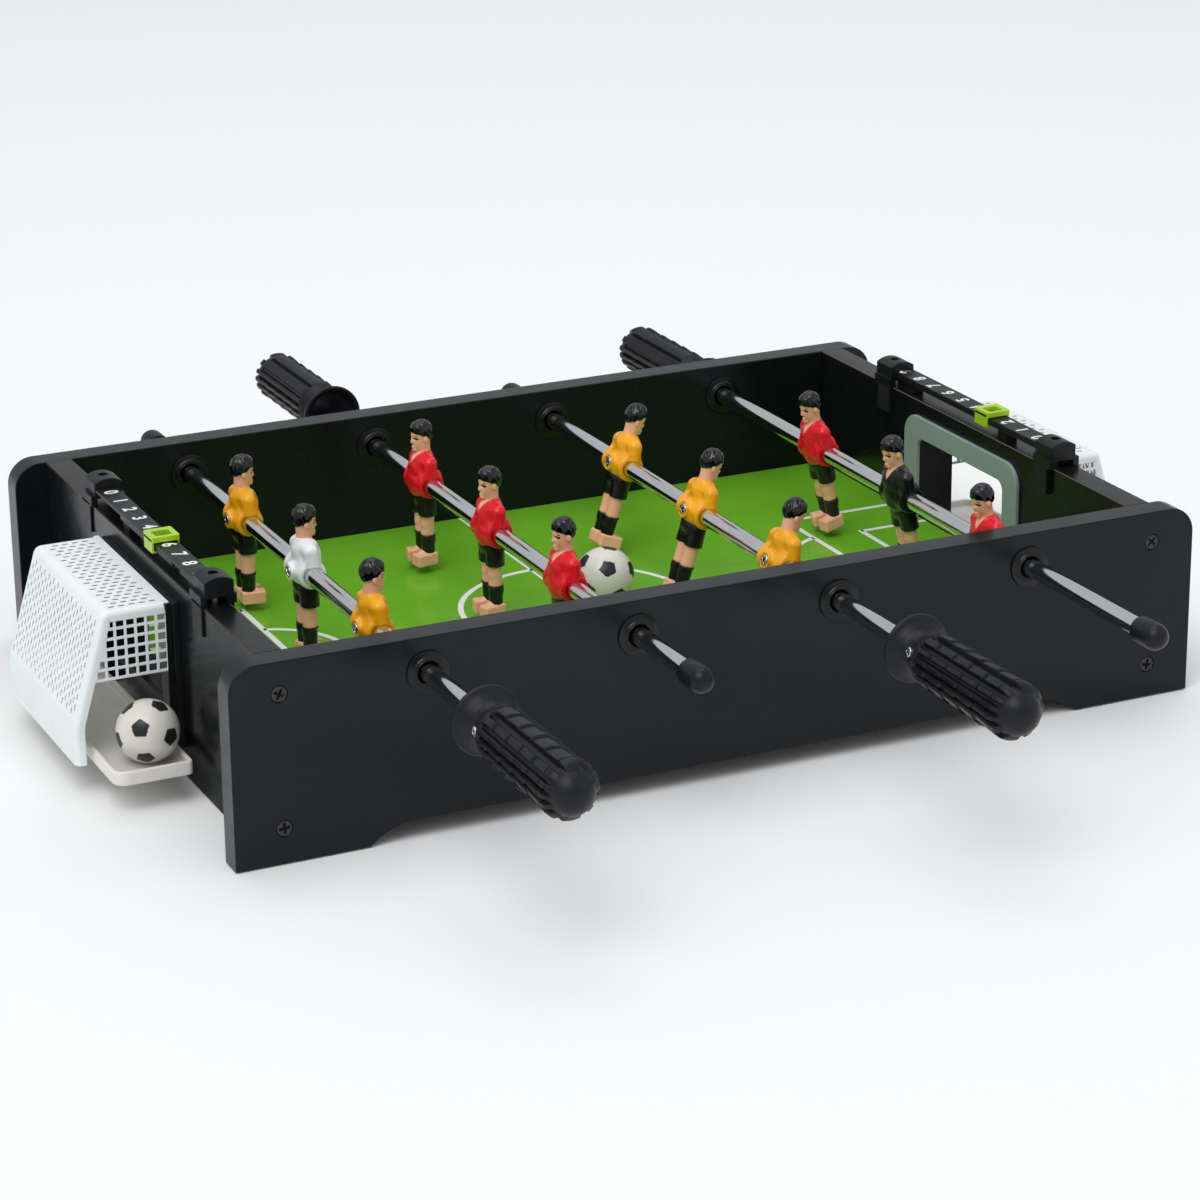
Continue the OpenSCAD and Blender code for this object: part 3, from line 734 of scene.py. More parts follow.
MOUTH_HALF, MOUTH_TOP, MOUTH_R = 38.9, 67.8, 5.0
NET_IN, NET_HALF, NET_TOP = 213.0, 47.9, 78.3
NET_TOP_OUT, NET_LOW_OUT, NET_KNEE, NET_LOW = 240.0, 254.5, 30.0, 13.0
NET_T = 0.45
NET_SLOPE = math.atan2(NET_LOW_OUT - NET_TOP_OUT, NET_TOP - NET_KNEE)
GRID_LOW = 48.9


def horseshoe(half, top, r, low):
    """A band round the goal's mouth: outer outline up and over, then the mouth's own back."""
    pts = [(half, low), *arc(half - r, top - r, r, 0, 90, 10), *arc(-half + r, top - r, r, 90, 180, 10)]
    pts += [(-half, low), (-MOUTH_HALF, low)]
    x, z = MOUTH_HALF - MOUTH_R, MOUTH_TOP - MOUTH_R
    return pts + arc(-x, z, MOUTH_R, 180, 90, 8) + arc(x, z, MOUTH_R, 90, 0, 8) + [(MOUTH_HALF, low)]


def goal_band(b, right, x, outline, thick, bevel, steps, key):
    """A flat shape across the end, from x inwards by its thickness."""
    m = cabinet(right) @ basis((x, 0, 0), Y, Z, X)
    b.add_mesh(plate([outline], thick, bevel, steps), key, m)


def goal_frame(name, node, right):
    b = Build()
    goal_band(b, right, -END_IN, horseshoe(51.1, 78.2, 10.5, LINE_ZS[1]), 2.0, 0.45, 3, "grey")
    b.piece(name, "table", node, flat=True)


def goal_sleeve(name, node, right):
    """Sleeve through the end panel, and the thick flange outside that the net stands on."""
    b = Build()
    wall = 1.55
    tube = horseshoe(MOUTH_HALF + wall, MOUTH_TOP + wall, 6.5, FIELD_Z - 1.5)
    goal_band(b, right, -END_OUT - 0.5, tube, END_T + 0.5, 0.2, 1, "black")
    m = cabinet(right) @ basis((-END_OUT, 0, FIELD_Z - 1.52), Y, X, Z)
    b.add_mesh(plate([board(-MOUTH_HALF - 1.5, MOUTH_HALF + 1.5, 0, END_T)], 1.5, 0.2, 1), "black", m)
    # the flange: two rings with a groove between them, inwards from the net
    for x, thick, groove, bevel in ((0, 2.6, 0.0, 0.25), (2.5, 0.8, 0.45, 0.05), (3.2, 2.8, 0.0, 0.25)):
        ring = horseshoe(NET_HALF - groove, NET_TOP - 0.65 - groove, 0.8, NET_LOW)
        goal_band(b, right, x - NET_IN, ring, thick, bevel, 2, "black_gloss")
    sill = rounded_rect(-MOUTH_HALF, MOUTH_HALF, NET_LOW, FIELD_Z, 0.3, 2)
    goal_band(b, right, -END_OUT - 2.0, sill, 2.0, 0.3, 1, "black")
    b.piece(name, "table", node, flat=True)


def slotted_sheet(length, half, rows, first, stagger, pitch, width, over=0.0):
    """Sheet from u = 0 to length with rows of staggered slots that run along u."""
    slot_l = 2.8
    outlines = [board(0, length, -half, half)]
    for j in range(rows):
        v = -half + 0.8 + (2 * half - 1.6) / rows * (j + 0.5)
        u = first + stagger * (j % 2)
        while u + slot_l / 2 < length + over:
            edges = (u - slot_l / 2, u + slot_l / 2, v - width / 2, v + width / 2)
            outlines.append(rounded_rect(*edges, width * 0.3, 2))
            u += pitch
    return plate(outlines, NET_T, 0.08, 1)


def net_back_x(z):
    """How far out the sloping back is at height z."""
    return NET_LOW_OUT - (z - NET_KNEE) * math.tan(NET_SLOPE)


def net_grid(b, right, s):
    """The upper side: a grid of square holes right up to the flange."""
    top, low, inner, border = NET_TOP - 3.0, GRID_LOW - 0.5, NET_IN - 0.6, 3.6
    x_low, x_top = net_back_x(GRID_LOW) - border, net_back_x(top) - border
    outlines = [[(inner, low), (x_low, low), (x_top, top), (inner, top)]]
    for i in range(8):
        for j in range(6):
            x, z = NET_IN + 0.02 + i * 4.45, 74.3 - j * 4.32
            x_end = min(x + 3.4, net_back_x(z) - 4.4)
            if x_end - x >= 1.0:
                outlines.append(rounded_rect(x, x_end, z - 3.25, z, 0.2, 2))
    m = basis((0, s * (NET_HALF - 0.1), 0), -X, Z, -s * Y)
    b.add_mesh(plate(outlines, 1.0, 0.1, 1), "white", cabinet(right) @ m)


def net_line():
    """The net's outer line over the flange, across the top and down the back, and its normals."""
    lip, top_r, knee = 1.9, 4.0, 1.6
    cut = top_r * math.tan((math.pi / 2 - NET_SLOPE) / 2)
    line = [(NET_IN - lip, NET_TOP), (NET_IN + 0.3, NET_TOP)]
    line += arc(NET_TOP_OUT - cut, NET_TOP - top_r, top_r, 90, math.degrees(NET_SLOPE), 6)
    line.append((NET_LOW_OUT - knee * math.sin(NET_SLOPE), NET_KNEE + knee))
    line += [(NET_LOW_OUT, NET_KNEE - knee), (NET_LOW_OUT, NET_LOW)]
    p = np.array(line)
    across = np.diff(p, axis=0)[:, ::-1] * (-1, 1)
    across /= np.linalg.norm(across, axis=1)[:, None]
    normal = np.vstack([across[:1], across[:-1] + across[1:], across[-1:]])
    return p, normal / np.linalg.norm(normal, axis=1)[:, None]


def goal_net(name, node, right):
    """Moulded net: slotted top and sloping back, gridded upper sides, rounded corner posts."""
    b = Build()
    m = cabinet(right)
    corner_r = 2.6
    half = NET_HALF - corner_r
    p, normal = net_line()
    inner = p - normal * NET_T
    # the flat top lies between the line's points 1 and 2, the slope between 8 and 9
    x = p[1][0]
    top = basis((-x, 0, NET_TOP - NET_T), -X, Y, Z)
    b.add_mesh(slotted_sheet(p[2][0] - x, half, 22, 3.2, 2.2, 4.45, 1.6, 0.6), "white", m @ top)
    run = float(np.linalg.norm(p[9] - p[8]))
    dx, dz = (p[9] - p[8]) / run
    back = basis((NET_T * -dz - p[8][0], 0, p[8][1] - NET_T * dx), (-dx, 0, dz), Y, (dz, 0, dx))
    b.add_mesh(slotted_sheet(run, half, 28, 3.0, 2.3, 4.6, 1.25), "white", m @ back)
    # the plain parts: the lip, the top's round, and the knee with the foot
    for first, last, reach in ((0, 1, NET_HALF - 0.6), (2, 8, half), (9, 11, half)):
        rings = []
        for q, r in zip(p[first : last + 1], inner[first : last + 1]):
            corners = ((q, -reach), (r, -reach), (r, reach), (q, reach))
            rings.append([(-u, y, w) for (u, w), y in corners])
        b.add(*loft(rings), "white", m)
    # corner posts: a rounded strip, as (y, height over the line), swept down the same line on each side
    strip = [(half, -NET_T), *arc(half, -corner_r, corner_r, 90, 0, 7)]
    strip += [(NET_HALF - u, -d) for u, d in ((0, 4.4), (0.3, 4.7), (0.9, 4.7), (1.2, 4.4), (1.2, corner_r))]
    for s in (-1, 1):
        places = zip(p[1:], normal[1:])
        rings = [[(-u - nu * d, s * y, w + nw * d) for y, d in strip] for (u, w), (nu, nw) in places]
        b.add(*loft(rings), "white", m)
        net_grid(b, right, s)
    b.piece(name, "table", node, flat=True, fix=True)


def ball_tray(name, node, right):
    """Cream trough under the net with an open pocket at one end."""
    b = Build()
    x0, x1, y0, y1 = NET_IN + 0.02, 246.6, -76.1, 46.2
    low, floor_z, lip, wall = 12.6, 15.2, 18.7, 1.9
    # (inset from the outer outline, height), from the middle of the underside up, over the lip and down
    edge = [(0.0, lip - 0.6), (0.1, lip - 0.25), (0.3, lip - 0.06), (0.6, lip)]
    steps = [(1.2, low), (0.5, low + 0.1), (0.12, low + 0.4), (0.0, low + 0.9), *edge]
    steps += [(wall - inset, z) for inset, z in edge[::-1]]
    steps += [(wall + u, floor_z + h) for u, h in ((0, 1.1), (0.1, 0.6), (0.4, 0.2), (1.0, 0))]
    rings = []
    for inset, z in steps:
        radii = [max(r - inset, 0.35) for r in (2.4, 6.0, 2.4, 2.4)]
        outline = rounded_rect(x0 + inset, x1 - inset, y0 + inset, y1 - inset, radii, 8)
        rings.append([(-x, y, z) for x, y in outline])
    b.add(*loft(rings), "cream", cabinet(right))
    b.piece(name, "table", node, fix=True)


for tag, right in (("left", False), ("right", True)):
    goal_frame(f"goal_border_{tag}", f"goal_frame_{tag}", right)
    goal_sleeve(f"goal_flange_{tag}", f"goal_sleeve_{tag}", right)
    goal_net(f"net_{tag}", f"goal_net_{tag}", right)
    ball_tray(f"tray_{tag}", f"ball_tray_{tag}", right)

# ---------------- counters

RAIL_Z, RAIL_T, RAIL_W = 93.0, 2.9, 9.6
RAIL_LOW = RAIL_Z - RAIL_T
POST_Y, POST_L, POST_TOP, POST_W, POST_IN, POST_R = 72.5, 14.0, 97.4, 12.8, 1.2, 11.0
SADDLE_Z, LEG_LOW, LEG_L = 89.8, 72.8, 11.5
LEG_OUT, LEG_IN = 1.0, 2.6
BASE_Z = PANEL_H + 0.02
GAP = 0.02  # between a leg and the panel's face


def bar_y(b, m, outline, y0, y1, bevel, steps, key="black"):
    """A bar along Y; its outline is given in (x, z)."""
    place = basis((0, y1, 0), X, Z, -Y)
    b.add_mesh(plate([outline], y1 - y0, bevel, steps), key, m @ place)


def counter_post(b, m, s):
    """Arched block with a hole, on a slotted saddle with a leg down each face of the end panel."""
    y0, y1 = s * POST_Y - POST_L / 2, s * POST_Y + POST_L / 2
    c, w = POST_IN - END_MID, POST_W / 2
    lean = math.degrees(math.asin(w / POST_R))
    block = [(c - w, SADDLE_Z - 0.6), (c + w, SADDLE_Z - 0.6)]
    block += arc(c, POST_TOP - POST_R, POST_R, 90 - lean, 90 + lean, 12)
    hole = plate([circle(c, POST_L / 2, 2.2, 32)], 9.0, 0.05, 1)
    hole.transform(basis((0, POST_TOP - 3.6, 0), X, Z, Y))
    place = basis((0, y1, 0), X, Z, -Y)
    b.add_mesh(drill(plate([block], POST_L, 0.5, 3), hole), "black", m @ place)
    x_out, x_in = -END_OUT - LEG_OUT, LEG_IN - END_IN
    slot = rect(-END_MID - 4.0, -END_MID + 4.6, BASE_Z, BASE_Z + 3.2)
    outer = rect(x_out, x_in, BASE_Z, SADDLE_Z)
    bar_y(b, m, [outer[0], slot[0], slot[3], slot[2], slot[1], *outer[1:]], y0, y1, 0.3, 2)
    outer, inner = (y0, y0 + LEG_L), (y1 - LEG_L, y1)
    if s > 0:
        outer, inner = inner, outer
    bar_y(b, m, rect(x_out, -END_OUT - GAP, LEG_LOW, BASE_Z + 1), *outer, 0.25, 2)
    bar_y(b, m, rect(GAP - END_IN, x_in - 0.3, LEG_LOW, BASE_Z + 1), *inner, 0.3, 2)
    # fine ribs on the inner leg
    rib_r, rib_step = 0.33, 0.9
    for i in range(14):
        rib = circle(x_in - rib_r, LEG_LOW + 0.8 + i * rib_step, rib_r, 10)
        bar_y(b, m, rib, inner[0] + 0.5, inner[1] - 0.5, 0.1, 1)


def digit_mesh(ch, size):
    cu = bpy.data.curves.new("digit", "FONT")
    cu.body = ch
    cu.size = size
    cu.align_x = "CENTER"
    cu.align_y = "CENTER"
    cu.extrude = 0.05
    cu.offset = 0.026 * size
    return curve_mesh(cu)


def rail(name, node, right):
    b = Build()
    m = cabinet(right)
    x_out, x_in = -END_MID - RAIL_W / 2, -END_MID + RAIL_W / 2
    # the plate's outer lower edge is broken in two places
    full, notch = rect(x_out, x_in, RAIL_LOW, RAIL_Z), 1.3
    x_notch, z_notch = x_out + notch, RAIL_Z - notch
    thin = [(x_out, z_notch), (x_notch, z_notch), (x_notch, RAIL_LOW), *full[1:]]
    for y0, y1 in ((-66.0, -48.0), (-48.2, -37.8), (-38.0, 31.0), (30.8, 66.0)):
        bar_y(b, m, full if y0 in (-66.0, -38.0) else thin, y0, y1, 0.22, 1)
    web = rect(-END_MID - 2.8, -END_MID + 2.8, BASE_Z, RAIL_LOW + 0.3)
    for y0, y1 in ((-66.0, -52.0), (25.6, 33.7)):
        bar_y(b, m, web, y0, y1, 0.2, 1)
    for s in (-1, 1):
        counter_post(b, m, s)
    # digits along the rail, read from outside the table's own end
    first, step = (56.0, 13.3) if right else (59.0, 13.1)
    for d in range(10):
        place = basis((-END_MID, first - step * d, RAIL_Z + 0.02), -Y, X, Z)
        b.add_mesh(digit_mesh(str(d), 8.6), "digit", m @ place)
    b.piece(name, "table", node, flat=True)


def slider(name, node, body):
    """Lime clip: two long legs down the rail's sides, joined on top by a raised frame."""
    lo, hi = box_mm(node)
    cx, cy = (lo[0] + hi[0]) / 2, (lo[1] + hi[1]) / 2
    w, half = (hi[0] - lo[0]) / 2, (hi[1] - lo[1]) / 2
    low, top = lo[2], hi[2]
    inside, hook = RAIL_W / 2 + 0.3, 1.2
    under, over = RAIL_LOW - 0.3, RAIL_Z + 0.3
    b = Build()
    here = move(cx, cy, 0)
    for s in (-1, 1):
        leg = [(s * w, low), (s * (inside - hook), low), (s * (inside - hook), under - 0.2)]
        leg += [(s * inside, under), (s * inside, top - 1.4), (s * w, top - 1.4)]
        bar_y(b, here, leg[::s], 0.6 - half, half - 0.6, 0.25, 2, "lime")
    outer = rounded_rect(-w, w, -half, half, 0.7, 3)
    window = rounded_rect(2.5 - w, w - 2.3, 2.5 - half, half - 2.7, 0.5, 3)
    me = plate([outer, window], top - over, 0.35, 3)
    # the frame is saddled: highest along its two long sides
    for v in me.vertices:
        if v.co.z > 1.0:
            v.co.z -= 0.45 * (1 - abs(v.co.x) / w)
    b.add_mesh(me, "lime", here @ move(0, 0, over))
    b.piece(name, body, node, flat=True)


rail("digit_rail_left", "counter_rail_left", False)
rail("digit_rail_right", "counter_rail_right", True)
slider("marker_left", "counter_slider_left", "counter_left")
slider("marker_right", "counter_slider_right", "counter_right")

# ---------------- rods, handles, caps

BAR_END = 195.0  # where the cap starts on a rod
DOME_FROM, DOME_R, RIBS_END, GRIP_END = 77.2, 9.8, 81.6, 87.0
GRIP_R, NECK_R = 12.0, 8.5
GROOVE_FROM, GROOVE_DEPTH, GROOVE_EDGE = 18.0, 2.8, 0.8
# groove centres to either side of the top, in degrees, with half widths
GROOVES = ((26, 8.5), (58, 6.0), (80, 4.8), (100, 4.8), (122, 6.0), (154, 8.5))
# cuts across the ribs divide them into blocks that lean like shingles
CUT_FIRST, CUT_STEP, BLOCKS, CUT_HALF, CUT_DEPTH, LEAN = 15.6, 11.8, 5, 0.8, 1.2, 0.75


def rod_frame(i):
    """Rod i's own frame: axis on Y, figures facing +X, millimetres."""
    r = RODS[i]
    m = move(r["x"], r["mid"], r["z"]) @ Matrix.Rotation(math.radians(TILT[i]), 4, "Y")
    return m @ half_turn(r["side"] > 0)


def rod_piece(i):
    b = Build()
    a, c = -RODS[i]["flange"] - 69, BAR_END + 4.9
    profile = [(3.0, a + 0.2), (3.7, a), (ROD_R, a + 0.3), (ROD_R, c - 0.3), (3.7, c), (3.0, c - 0.2)]
    profile.append(profile[0])
    b.add(*lathe(profile, 64, flip=True), "chrome", rod_frame(i))
    b.piece(f"bar_{i + 1}", f"rod_{i + 1}", f"rod_{i + 1}")


def clamp(t):
    return min(1.0, max(0.0, t))


def ease(t):
    """From 0 to 1 with a level start and end."""
    return t * t * (3 - 2 * t)


def grip_radius(y, deg):
    """Radius of the grip at height y for an array of angles: the ribs, the grooves and the end dome."""
    full = NECK_R + (GRIP_R - NECK_R) * ease(clamp((y - 10.0) / 9.0))
    arc_mm = math.radians(GRIP_R)
    groove = np.zeros(len(deg))
    for centre, width in GROOVES:
        half = width * arc_mm
        over = max(GROOVE_FROM + half - y, 0.0)
        for c in (centre, -centre):
            d = np.abs((deg - c + 180) % 360 - 180) * arc_mm
            depth = 0.4 - (np.sqrt(d**2 + over**2) - half) / GROOVE_EDGE
            groove = np.maximum(groove, np.clip(depth, 0, 1))
    groove = ease(groove)
    cut, lean = 0.0, 0.0
    if 16.0 < y < 75.0:
        k = (y - CUT_FIRST) / CUT_STEP
        if 0 < round(k) < BLOCKS:
            cut = max(0.0, 1 - abs(k - round(k)) * CUT_STEP / CUT_HALF)
        lean = LEAN * (1 - (k - math.floor(k)))
    end = clamp((y - 76.4) / 5.2)
    ribs = full - GROOVE_DEPTH * groove - (1 - groove) * (CUT_DEPTH * cut + lean) - 3.4 * end**2
    if y <= DOME_FROM:
        # the dome's foot closes the grooves
        dome = DOME_R - 1.6 * clamp((DOME_FROM - 0.7 - y) / 1.6) ** 2
    else:
        dome = DOME_R * math.sqrt(1 - ((y - DOME_FROM) / (GRIP_END - DOME_FROM)) ** 2)
    return np.maximum(ribs, dome) if y < RIBS_END else np.full(len(deg), dome)


def grip_heights():
    """Heights of the grip's rings, closer together at the cuts and over the end."""
    ys = [*np.arange(10.4, 24.0, 0.4), *np.arange(24.2, 74.2, 0.6), *np.arange(74.2, RIBS_END, 0.25)]
    for k in range(1, BLOCKS):
        c = CUT_FIRST + CUT_STEP * k
        ys = [y for y in ys if abs(y - c) > 0.85]
        ys += [c + s * d for d in (0.01, 0.25, 0.5, 0.75) for s in (-1, 1)]
    length = GRIP_END - DOME_FROM
    first = math.asin((RIBS_END - DOME_FROM) / length) + 0.01
    ys += [DOME_FROM + length * math.sin(a) for a in np.linspace(first, math.pi / 2 - 0.02, 18)]
    return sorted(ys)


def grip_shapes():
    """Ribbed grip with a trumpet flange; the axis is +Y and y = 0 at the flange's inner face."""
    n = 360
    angles = np.linspace(0, 2 * np.pi, n, endpoint=False)
    deg = (np.degrees(angles) + 180) % 360 - 180
    rim = [(2.9, 11.9), (1.6, 12.4), (0.5, 12.8), (0.05, 13.3), (0.0, 13.7), (0.15, 14.1), (0.6, 14.4)]
    rim += [(1.3, 14.45), (1.8, 14.3), (2.1, 13.9)]
    # then the trumpet curve, from the rim to the neck
    for t in np.linspace(0, 1, 15)[1:]:
        rim.append((2.1 + t * 7.9, 13.9 - 5.4 * math.sin(t * math.pi / 2) ** 0.78))
    rows = [(y, np.full(n, r)) for y, r in rim] + [(y, grip_radius(y, deg)) for y in grip_heights()]
    rings = [[(r * math.sin(a), y, r * math.cos(a)) for a, r in zip(angles, radii)] for y, radii in rows]
    verts, faces = loft(rings, cap=False)
    tip, last = len(verts), len(verts) - n
    verts.append((0, GRIP_END, 0))
    faces += [(last + k, last + (k + 1) % n, tip) for k in range(n)]
    dish = lathe([(11.9, 2.9), (10.6, 5.2), (8.4, 6.6), (6.0, 7.2), (ROD_R, 7.3)], 96, flip=True)
    return (verts, faces), dish


GRIP = grip_shapes()


def handle_piece(i):
    b = Build()
    m = rod_frame(i) @ move(0, -RODS[i]["flange"], 0) @ turn_z(180)
    for shape in GRIP:
        b.add(*shape, "grip", m)
    b.piece(f"grip_{i + 1}", f"rod_{i + 1}", f"handle_{i + 1}", 50, fix=True)


def cap_piece(i):
    b = Build()
    r = 5.65
    profile = [(4.06, 5.3), (4.06, 0.4), (4.5, 0.05), (r - 0.5, 0.0), (r - 0.12, 0.15), (r, 0.5), (r, 9.8)]
    profile += [(r - 0.05, 10.2), *arc(0, 10.3, r, 0, 90, 12)[1:-1], (0, 10.3 + r)]
    m = rod_frame(i) @ move(0, BAR_END, 0)
    b.add(*lathe(profile, 56, flip=True), "black", m)
    b.piece(f"cap_end_{i + 1}", f"cap_{i + 1}", f"end_cap_{i + 1}", 40)


def rod_screws(i):
    b = Build()
    places = [(-8.0, at * FIGURE_PITCH, 2.6) for at in (-1, 0, 1)]
    places.append((-8.75, -RODS[i]["flange"] - 9, 2.1))
    for k, (x, y, r) in enumerate(places):
        # the head faces -X
        head = rod_frame(i) @ basis((x, y, 0), Y, Z, -X)
        screw_head(b, r, 1.0, 0.25, "steel", head @ turn_z(17 + 31 * k + 13 * i))
        shank = rod_frame(i) @ move(x, y, 0) @ turn_z(-90)
        b.add(*lathe([(0, 0.9), (1.1, 0.9), (1.1, 5.0), (0, 5.0)], 20, flip=True), "steel", shank)
    b.piece(f"screws_{i + 1}", f"rod_{i + 1}", f"rod_screws_{i + 1}")


for i in range(4):
    rod_piece(i)
    handle_piece(i)
    cap_piece(i)
    rod_screws(i)

# ---------------- players
# Shapes in a figure's own frame: the rod's axis is Y, the face looks along +X.
# What is the same on both sides is made at m, the point p with |y| for y.


def mirrored(p):
    return (p[0], np.abs(p[1]), p[2])


def from_axis(a, b):
    return np.sqrt(a**2 + b**2)


def shirt_f(*p):
    m = mirrored(p)
    x, ay, z = m
    chest = ell(p, (0.9, 0, 6.2), (6.0, 7.6, 8.6))
    belly = ell(p, (0.9, 0, -1.2), (6.3, 7.2, 7.4))
    yoke = cone(p, (0, -5.6, 10.6), (0, 5.6, 10.6), 3.5, 3.5)
    neck = cone(m, (-0.2, 0, 10.5), (-0.1, 0, 14.4), 5.2, 3.5)
    arm = cone(m, (-0.1, 7.7, 9.9), (0.5, 8.7, 2.8), 3.5, 3.1)
    off_rod, off_screw = from_axis(x, z), from_axis(p[1], z)
    boss = np.maximum(off_rod - 6.1, ay - 9.0)
    rim = from_axis(off_rod - 5.1, ay - 8.95) - 1.15
    seat = np.maximum(off_screw - 3.9, np.maximum(-x - 7.7, x))
    d = blend(chest, (belly, 3.0), (yoke, 2.2), (neck, 2.0), (arm, 0.9), (boss, 2.4), (rim, 0.5), (seat, 1.4))
    # cloth folds across the belly and the back, the hem, the V neck
    d = d + 0.12 * np.sin(z * 1.1 + 0.6 * ay + 0.8) * np.exp(-(((z - 3) / 9) ** 2)) * (ay < 8)
    d = smax(d, -(z + 7.6), 0.5)
    vee = np.maximum(ay * 0.93 - (z - 9.0) * 0.52, 1.0 - x)
    d = smax(d, -np.maximum(vee, 8.6 - z), 0.35)
    d = smax(d, z - 15.0, 0.4)
    # the rod's bore and the screw's seat
    d = np.maximum(d, ROD_R + 0.02 - off_rod)
    return np.maximum(d, -np.maximum(off_screw - 2.75, x + 6.8))


def skin_f(*p):
    m = mirrored(p)
    head = blend(
        ell(p, (0.6, 0, 23.3), (4.75, 4.25, 5.4)),
        (ell(p, (1.35, 0, 19.2), (3.7, 3.25, 4.3)), 1.6),  # jaw
        (cone(p, (4.6, 0, 21.2), (5.2, 0, 19.4), 0.5, 0.75), 0.7),  # nose
        (cone(m, (4.55, 0.6, 22.5), (3.9, 2.5, 22.3), 0.62, 0.5), 0.6),  # brow
        (ell(p, (4.55, 0, 16.95), (0.75, 1.25, 0.55)), 0.5),  # lips
        (ell(p, (3.9, 0, 15.7), (1.2, 1.4, 0.9)), 0.9),  # chin
        (ell(m, (-0.1, 4.1, 20.9), (1.15, 0.75, 1.7)), 0.4),  # ear
    )
    head = smax(head, -ell(m, (5.1, 1.75, 21.0), (0.95, 1.05, 0.75)), 0.5)
    neck = cone(m, (-0.3, 0, 8.5), (-0.3, 0, 18.5), 3.3, 3.1)
    chest = ell(p, (1.0, 0, 6.6), (5.2, 6.2, 8.0))
    leg = blend(
        cone(m, (0.1, 3.55, -12.0), (0.1, 3.45, -24.0), 3.35, 2.95),
        (ell(m, (0.9, 3.5, -20.0), (2.4, 2.4, 2.2)), 1.0),  # knee
        (cone(m, (0.1, 3.4, -24.0), (-0.1, 3.3, -35.5), 2.8, 2.75), 1.0),
    )
    foot = blend(
        rbox(m, (1.95, 4.15, -36.55), (5.3, 3.15, 2.9), 0.75, 0.2),
        (rbox(m, (-1.2, 3.4, -36.4), (2.4, 3.0, 2.8), 0.8), 0.7),  # heel
        (ell(m, (1.6, 3.5, -34.2), (3.4, 2.3, 2.2)), 0.9),  # instep
    )
    body = blend(head, (neck, 1.3), (chest, 1.5))
    return np.maximum(smin(np.minimum(body, leg), foot, 0.8), ROD_R + 0.6 - from_axis(p[0], p[2]))


def legs_f(*p):
    return np.maximum(skin_f(*p), p[2] + 13.0)


def shorts_f(*p):
    m = mirrored(p)
    _, ay, z = m
    leg = cone(m, (0.1, 3.6, -7.0), (0.2, 4.0, -16.5), 4.2, 4.15)
    d = smin(ell(p, (0.1, 0, -6.5), (5.3, 7.3, 6.0)), leg, 1.2)
    d = d + 0.1 * np.sin(ay * 2.1 + z * 0.5) * (z < -7)
    d = smax(d, -(z + 15.5), 0.35)
    d = smax(d, z + 4.2, 0.3)
    d = smax(d, -np.maximum(ay - 0.32, z + 10.4), 0.4)
    return np.maximum(d, ROD_R + 0.1 - from_axis(p[0], z))


def socks_f(*p):
    m = mirrored(p)
    x, ay, z = m
    shin = cone(m, (0.1, 3.45, -22.0), (-0.1, 3.35, -36.0), 3.3, 3.05)
    calf = ell(m, (-0.7, 3.45, -26.8), (2.9, 2.9, 3.6))
    cuff = from_axis(np.maximum(from_axis(x - 0.1, ay - 3.45) - 3.1, 0), z + 25.3) - 0.5
    d = smax(blend(shin, (calf, 1.0), (cuff, 0.3)), z + 24.7, 0.25)
    return smax(d, -(z + 33.7), 0.25)


def hair_f(*p):
    x, y, z = p
    skull = ell(p, (0.35, 0, 23.6), (5.25, 4.75, 5.75))
    # locks swept from the crown
    phi = np.arctan2(y, x - 0.3)
    el = np.arctan2(z - 22.5, from_axis(x - 0.3, y))
    locks = 0.09 * np.sin(11 * phi + 6 * el) + 0.06 * np.sin(7 * phi - 8 * el + 1.3)
    locks = locks + 0.05 * np.sin(19 * phi + 4 * el + 3)
    d = smin(skull - 0.1 - locks, ell(p, (3.3, 0.3, 26.2), (2.0, 3.2, 2.0)), 1.2)
    # hair line: high over the forehead, low at the nape, with a notch round the ears
    line = 21.2 + 2.6 / (1 + np.exp(-(x - 1.6) * 1.5)) - 1.7 / (1 + np.exp((x + 2.6) * 1.6))
    line = line + 0.25 * np.sin(5 * phi + 0.6)
    notch = 0.9 * np.exp(-((x / 0.9) ** 2)) * np.clip(np.abs(y) - 3, 0, 1)
    return smax(d, line + np.where((x > -1.3) & (x < 1.2), notch, 0) - z, 0.35)


def eyes_f(*p):
    m = mirrored(p)
    lash = ell(m, (4.2, 2.1, 21.2), (1.7, 1.4, 0.6))
    brow = cone(m, (4.9, 0.8, 22.75), (4.0, 3.1, 22.5), 0.42, 0.3)
    return np.maximum(skin_f(*p) - 0.07, np.minimum(lash, brow))


# each part's shape, box and grid step, with its material
FIGURE = (
    (surface(shirt_f, (-8.6, -13, -9), (8.6, 13, 16.4), 0.42), "shirt"),
    (surface(skin_f, (-7, -9, 7), (7, 9, 30), 0.34), "skin"),
    (surface(legs_f, (-6, -9.6, -40.4), (9, 9.6, -12), 0.4), "skin"),
    (surface(shorts_f, (-7, -9.4, -16.6), (7, 9.4, -3), 0.42), "cloth_black"),
    (surface(socks_f, (-5, -8, -34.6), (5, 8, -23.6), 0.38), "cloth_black"),
    (surface(hair_f, (-6.6, -6.4, 17.5), (7.4, 6.4, 31), 0.27), "hair"),
    (surface(eyes_f, (2.2, -3.6, 20.2), (6.4, 3.6, 23.6), 0.11), "eye"),
)


def player(i, tag, at, shirt):
    b = Build()
    m = rod_frame(i) @ move(0, -RODS[i]["side"] * at * FIGURE_PITCH, 0)
    for shape, key in FIGURE:
        b.add(*shape, shirt if key == "shirt" else key, m)
    b.piece(f"player_{i + 1}_{tag}", f"rod_{i + 1}", f"figure_{i + 1}_{tag}", 62)


